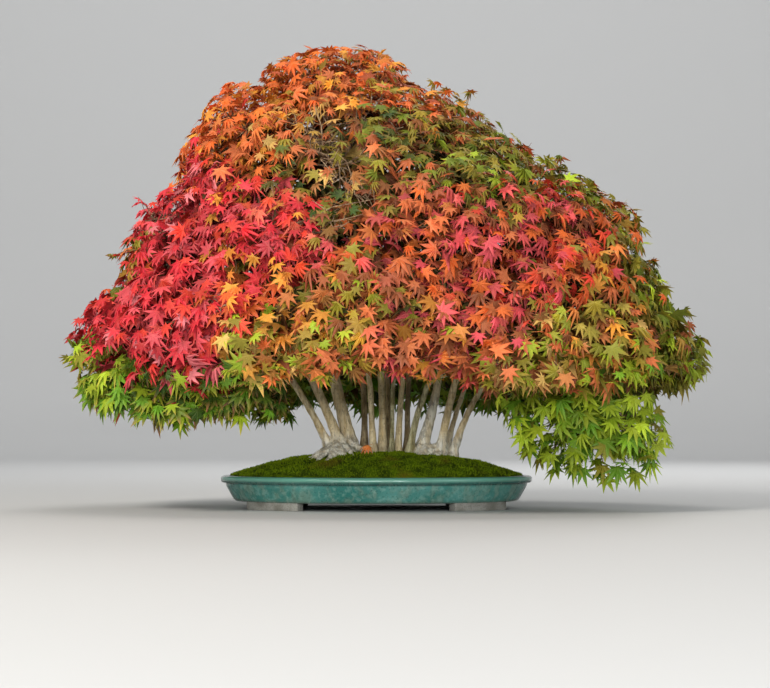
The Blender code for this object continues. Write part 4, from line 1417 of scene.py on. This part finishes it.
def scatter(bm, count, draw):
    # places spread evenly over the surface, each the farthest of four tries from its neighbours
    fans = surfaceTriangles(bm)
    totals = []
    total = 0.0
    for a, b, c in fans:
        total += (b - a).cross(c - a).length / 2
        totals.append(total)
    cell = 0.02
    near = {}
    places = []
    for _ in range(count):
        best = None
        for _ in range(4):
            corners = fans[min(bisect.bisect(totals, draw.uniform(0, total)), len(fans) - 1)]
            a, b = sorted((draw.random(), draw.random()))
            spot = corners[0] * a + corners[1] * (b - a) + corners[2] * (1 - b)
            key = tuple(int(math.floor(value / cell)) for value in spot)
            room = cell
            for i, j, k in product((-1, 0, 1), repeat=3):
                for other in near.get((key[0] + i, key[1] + j, key[2] + k), ()):
                    room = min(room, (other - spot).length)
            if best is None or room > best[0]:
                best = (room, spot, (corners[1] - corners[0]).cross(corners[2] - corners[0]).normalized(), key)
        near.setdefault(best[3], []).append(best[1])
        places.append((best[1], best[2]))
    return places


def leafColour(place, depth, draw):
    # the zone that pulls hardest, with some chance, then one of its hues; deeper inside the crown the leaf gets
    # painted shade, a darker hue and a darker tone
    best, pull = None, -1
    for at, reach, shares in zonePlaces:
        strength = math.exp(-(((place - at).length / reach) ** 2)) * draw.uniform(0.25, 1.0)
        if strength > pull:
            best, pull = shares, strength
    names = list(best)
    name = draw.choices(names, list(best.values()))[0]
    # painted shade: a leaf deep in the crown often takes a dark hue
    if depth > 0.05 and draw.random() < 0.45:
        name = draw.choice(("deep", "moss", "browned"))
    colour = hueColours[name].lerp(hueColours[draw.choice(names)], draw.uniform(0, 0.3))
    # a random brightness, times painted shade that darkens the leaf with its depth
    light = draw.uniform(0.70, 1.26) * mixed(1.0, 0.42, smoothStep(depth / 0.09))
    return tuple(min(c * light, 0.95) for c in colour) + (1.0,)


def leafPlace(spot, normal, heading, size):
    forward = (heading - normal * heading.dot(normal)).normalized()
    side = forward.cross(normal)
    turn = Matrix((side, forward, normal)).transposed().to_4x4()
    return Matrix.Translation(spot) @ turn @ Matrix.Diagonal((size, size, size, 1))


def nearestSpray(spot, names):
    return min(names, key=lambda name: (sprayPlaces[name] - spot).length)


def loose(draw):
    return Vector((draw.gauss(0, 1), draw.gauss(0, 1), draw.gauss(0, 1)))


def openness(spot):
    # how bare the crown is there, 0 to 0.85
    reach = [(spot - fromPot(middle)).length / radius for middle, radius in crownForm["hollows"]]
    return 0.85 * (1 - smoothStep(min(reach) - 0.6))


def domeLeaves(draw):
    # (spray, place matrix, colour, leaf shape) of every leaf of the dome
    made = []
    up = Vector((0, 0, 1))
    spots = scatter(makeDome(), crownForm["leaves"], draw) + scatter(makeDome(), crownForm["inner"], draw)
    for index, (spot, normal) in enumerate(spots):
        inner = index >= crownForm["leaves"]
        ranked = sorted((place - spot).length for place in (sprayPlaces[name] for name in domeSprays))
        seam = 1 - smoothStep((ranked[1] - ranked[0]) / crownForm["creaseWidth"])
        ceiling = normal.z < -0.35
        if ceiling and draw.random() < crownForm["ceilingBare"]:
            continue
        patch = noise.noise(spot * 26) + 0.5 * noise.noise(spot * 55)
        if not inner and (patch < crownForm["bareBelow"] or draw.random() < seam * crownForm["creaseBare"]):
            continue
        if not inner and draw.random() < openness(spot):
            continue
        depth = crownForm["depth"] * draw.random() ** 1.6 + crownForm["crease"] * seam
        if inner:
            # inner leaves lie deep, deeper still in the hollows, so leafColour paints them darker as shade
            depth = draw.uniform(*crownForm["innerDepth"]) + 0.04 * openness(spot)
        depth -= patch * crownForm["tuftSize"] + noise.noise(spot * 9) * crownForm["lumpSize"]
        place = spot - normal * depth
        share = smoothStep((place.z - 0.25) / 0.5)
        size = mixed(crownForm["reachLow"], crownForm["reachHigh"], share) * draw.uniform(0.70, 1.26)
        if inner:
            size *= mixed(1.55, 1.05, openness(spot))
        out, lift = (0.2, 0.9) if ceiling else (0.80, 0.34)
        facing = (normal * out + up * lift + loose(draw) * 0.36).normalized()
        outward = Vector((normal.x, normal.y, 0))
        heading = outward * 0.6 - up * mixed(0.85, 0.25, share) + loose(draw) * mixed(0.55, 0.8, share)
        shape = "inner" if inner else draw.choices(outerShapes, (5, 4, 3.2, 2.4))[0]
        spray = nearestSpray(place, domeSprays)
        matrix = leafPlace(place, facing, heading, size)
        made.append((spray, matrix, leafColour(place, max(depth, 0), draw), shape))
    for shoot in shoots:
        tip = fromPot(shoot)
        spray = nearestSpray(tip, domeSprays)
        outward = (tip - sprayPlaces[spray]).normalized()
        for heading in (outward, outward - up * 0.8 + loose(draw) * 0.5, loose(draw) - up):
            place = tip - outward * draw.uniform(0, 0.012)
            facing = (up + loose(draw) * 0.4).normalized()
            matrix = leafPlace(place, facing, heading, draw.uniform(0.014, 0.019))
            made.append((spray, matrix, leafColour(tip, 0, draw), draw.choice(outerShapes)))
    return made


def skirtLeaves(name, form, draw):
    # hanging leaves in an egg-shaped bough, fewer towards its lower edge
    made = []
    up = Vector((0, 0, 1))
    for _ in range(form["leaves"]):
        way = loose(draw).normalized()
        radius = draw.random() ** 0.42
        if way.z * radius < -0.45 and draw.random() < 0.45:
            continue
        place = fromPot(form["middle"]) + Vector(way[i] * form["half"][i] for i in range(3)) * radius
        place.x -= form["slant"] * way.z * radius
        out = Vector((way.x, way.y * 0.8, 0))
        facing = (out * 0.5 + up * 0.7 - Vector((0, 0.4, 0)) + loose(draw) * 0.28).normalized()
        sideways = Vector((0.15 if place.x > 0 else -0.15, -0.25, 0))
        heading = out * 0.55 - up * 1.0 + sideways + loose(draw) * 0.35
        size = crownForm["reachLow"] * draw.uniform(0.88, 1.32)
        matrix = leafPlace(place, facing, heading, size)
        shape = draw.choices(outerShapes, (4, 6, 1, 1))[0]
        # painted shade: leaves nearer the bough's middle are darkened as if deeper inside
        made.append((name, matrix, leafColour(place, 0.03 * (1 - radius), draw), shape))
    return made


def twigStrokes(name, leaves, draw):
    # twigs from the limb's end out to a part of the leaves
    start = sprayPlaces[name]
    strokes = []
    ends = [matrix.translation for _, matrix, _, _ in draw.sample(leaves, min(22, len(leaves)))]
    for end in ends:
        inside = end.lerp(start, 0.10)
        bend = start.lerp(inside, 0.5) + Vector((0, 0, 0.012)) + loose(draw) * 0.006
        line = flowing([start, bend, inside], 7)
        strokes.append([(point, mixed(0.0019, 0.0007, i / 6)) for i, point in enumerate(line)])
        for share in (3, 4, 5):
            fork = line[share]
            mates = sorted(leaves, key=lambda leaf: (leaf[1].translation - fork).length)[2:14]
            for _, matrix, _, _ in draw.sample(mates, min(2, len(mates))):
                tip = matrix.translation
                bend = fork.lerp(tip, 0.5) + loose(draw) * 0.003
                strokes.append([(fork, 0.0010), (bend, 0.0008), (tip, 0.0006)])
    for shoot in shoots:
        tip = fromPot(shoot)
        if nearestSpray(tip, domeSprays) == name:
            bend = tip.lerp(start, 0.25) + Vector((0, 0, 0.006))
            strokes.append([(tip.lerp(start, 0.6), 0.0014), (bend, 0.0011), (tip, 0.0006)])
    for middle, radius in crownForm["hollows"]:
        middle = fromPot(middle)
        if nearestSpray(middle, sprayPlaces) != name:
            continue
        for _ in range(7):
            # forked bare twigs that show in the hollow
            inside = middle.lerp(start, 0.45) + loose(draw) * 0.012
            rim = middle + loose(draw).normalized() * radius * draw.uniform(0.6, 1.1)
            fork = inside.lerp(rim, 0.55) + loose(draw) * 0.005
            strokes.append([(inside, 0.0018), (fork, 0.0012), (rim, 0.0006)])
            bend = fork.lerp(rim, 0.6) + loose(draw) * 0.014
            strokes.append([(fork, 0.0010), (bend, 0.0008), (rim + loose(draw) * 0.018, 0.0005)])
    return strokes


def makeSpray(name, leaves, draw):
    bm = branchMesh(twigStrokes(name, leaves, draw), 4)
    bm.loops.layers.uv.new("leafMap")
    bm.verts.layers.float_color.new("tint")
    for face in bm.faces:
        face.material_index = 1
    for _, matrix, colour, shape in leaves:
        copy = leafMeshes[shape].copy()
        copy.transform(matrix)
        copy.attributes["tint"].data.foreach_set("color", list(colour) * len(copy.vertices))
        bm.from_mesh(copy)
        bpy.data.meshes.remove(copy)
    cadNode = "spray_" + name
    slot = "leaves_" + sprayColours[name]
    materials = [leafMaterials[slot], barkMaterials["twigBark"]]
    finish(bm, camelCase(cadNode), materials, [cadNode], crownForm["smoothAngle"])


leafLimits = {"aside": 0.022, "above": 0.012, "floor": 0.02}


def fits(matrix):
    # keeps every leaf off the floor and inside the tree's own size
    reach = matrix.to_scale().x
    tip = matrix @ Vector((0, 1, -0.3))
    aside = leafLimits["aside"]
    inside = all(cadLow[i] - aside < tip[i] < cadHigh[i] + aside for i in range(2))
    clear = min(tip.z, matrix.translation.z - reach) > leafLimits["floor"]
    return inside and clear and tip.z < cadHigh.z + leafLimits["above"]


def makeCrown():
    draw = seeded("crown")
    leaves = domeLeaves(draw)
    for name, form in skirts.items():
        leaves += skirtLeaves(name, form, draw)
    leaves = [leaf for leaf in leaves if fits(leaf[1])]
    print("leaves:", len(leaves))
    for name in sprayColours:
        own = [leaf for leaf in leaves if leaf[0] == name]
        makeSpray(name, own, seeded(name))
    print("crown made")


makeCrown()


# the fallen leaf

fallenForm = {"reach": 0.020, "turn": 150, "lean": 40, "lift": 0.015, "colour": "#f49a50"}


def makeFallenLeaf():
    low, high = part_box("fallen_leaf")
    middle = (low + high) / 2
    bm = bmesh.new()
    copy = leafMeshes["furled"].copy()
    place = Matrix.Translation((middle.x, middle.y, mossTop(middle.x, middle.y) + fallenForm["lift"]))
    lean = Matrix.Rotation(math.radians(fallenForm["lean"]), 4, "X")
    turn = lean @ Matrix.Rotation(math.radians(fallenForm["turn"]), 4, "Z")
    reach = fallenForm["reach"]
    copy.transform(place @ turn @ Matrix.Diagonal((reach, reach, reach, 1)))
    copy.attributes["tint"].data.foreach_set("color", list(colourOf(fallenForm["colour"])) * len(copy.vertices))
    bm.from_mesh(copy)
    bpy.data.meshes.remove(copy)
    material = leafMaterials["leaves_orange"]
    finish(bm, "fallenLeaf", [material], ["fallen_leaf"], crownForm["smoothAngle"])


makeFallenLeaf()
for mesh in leafMeshes.values():
    bpy.data.meshes.remove(mesh)
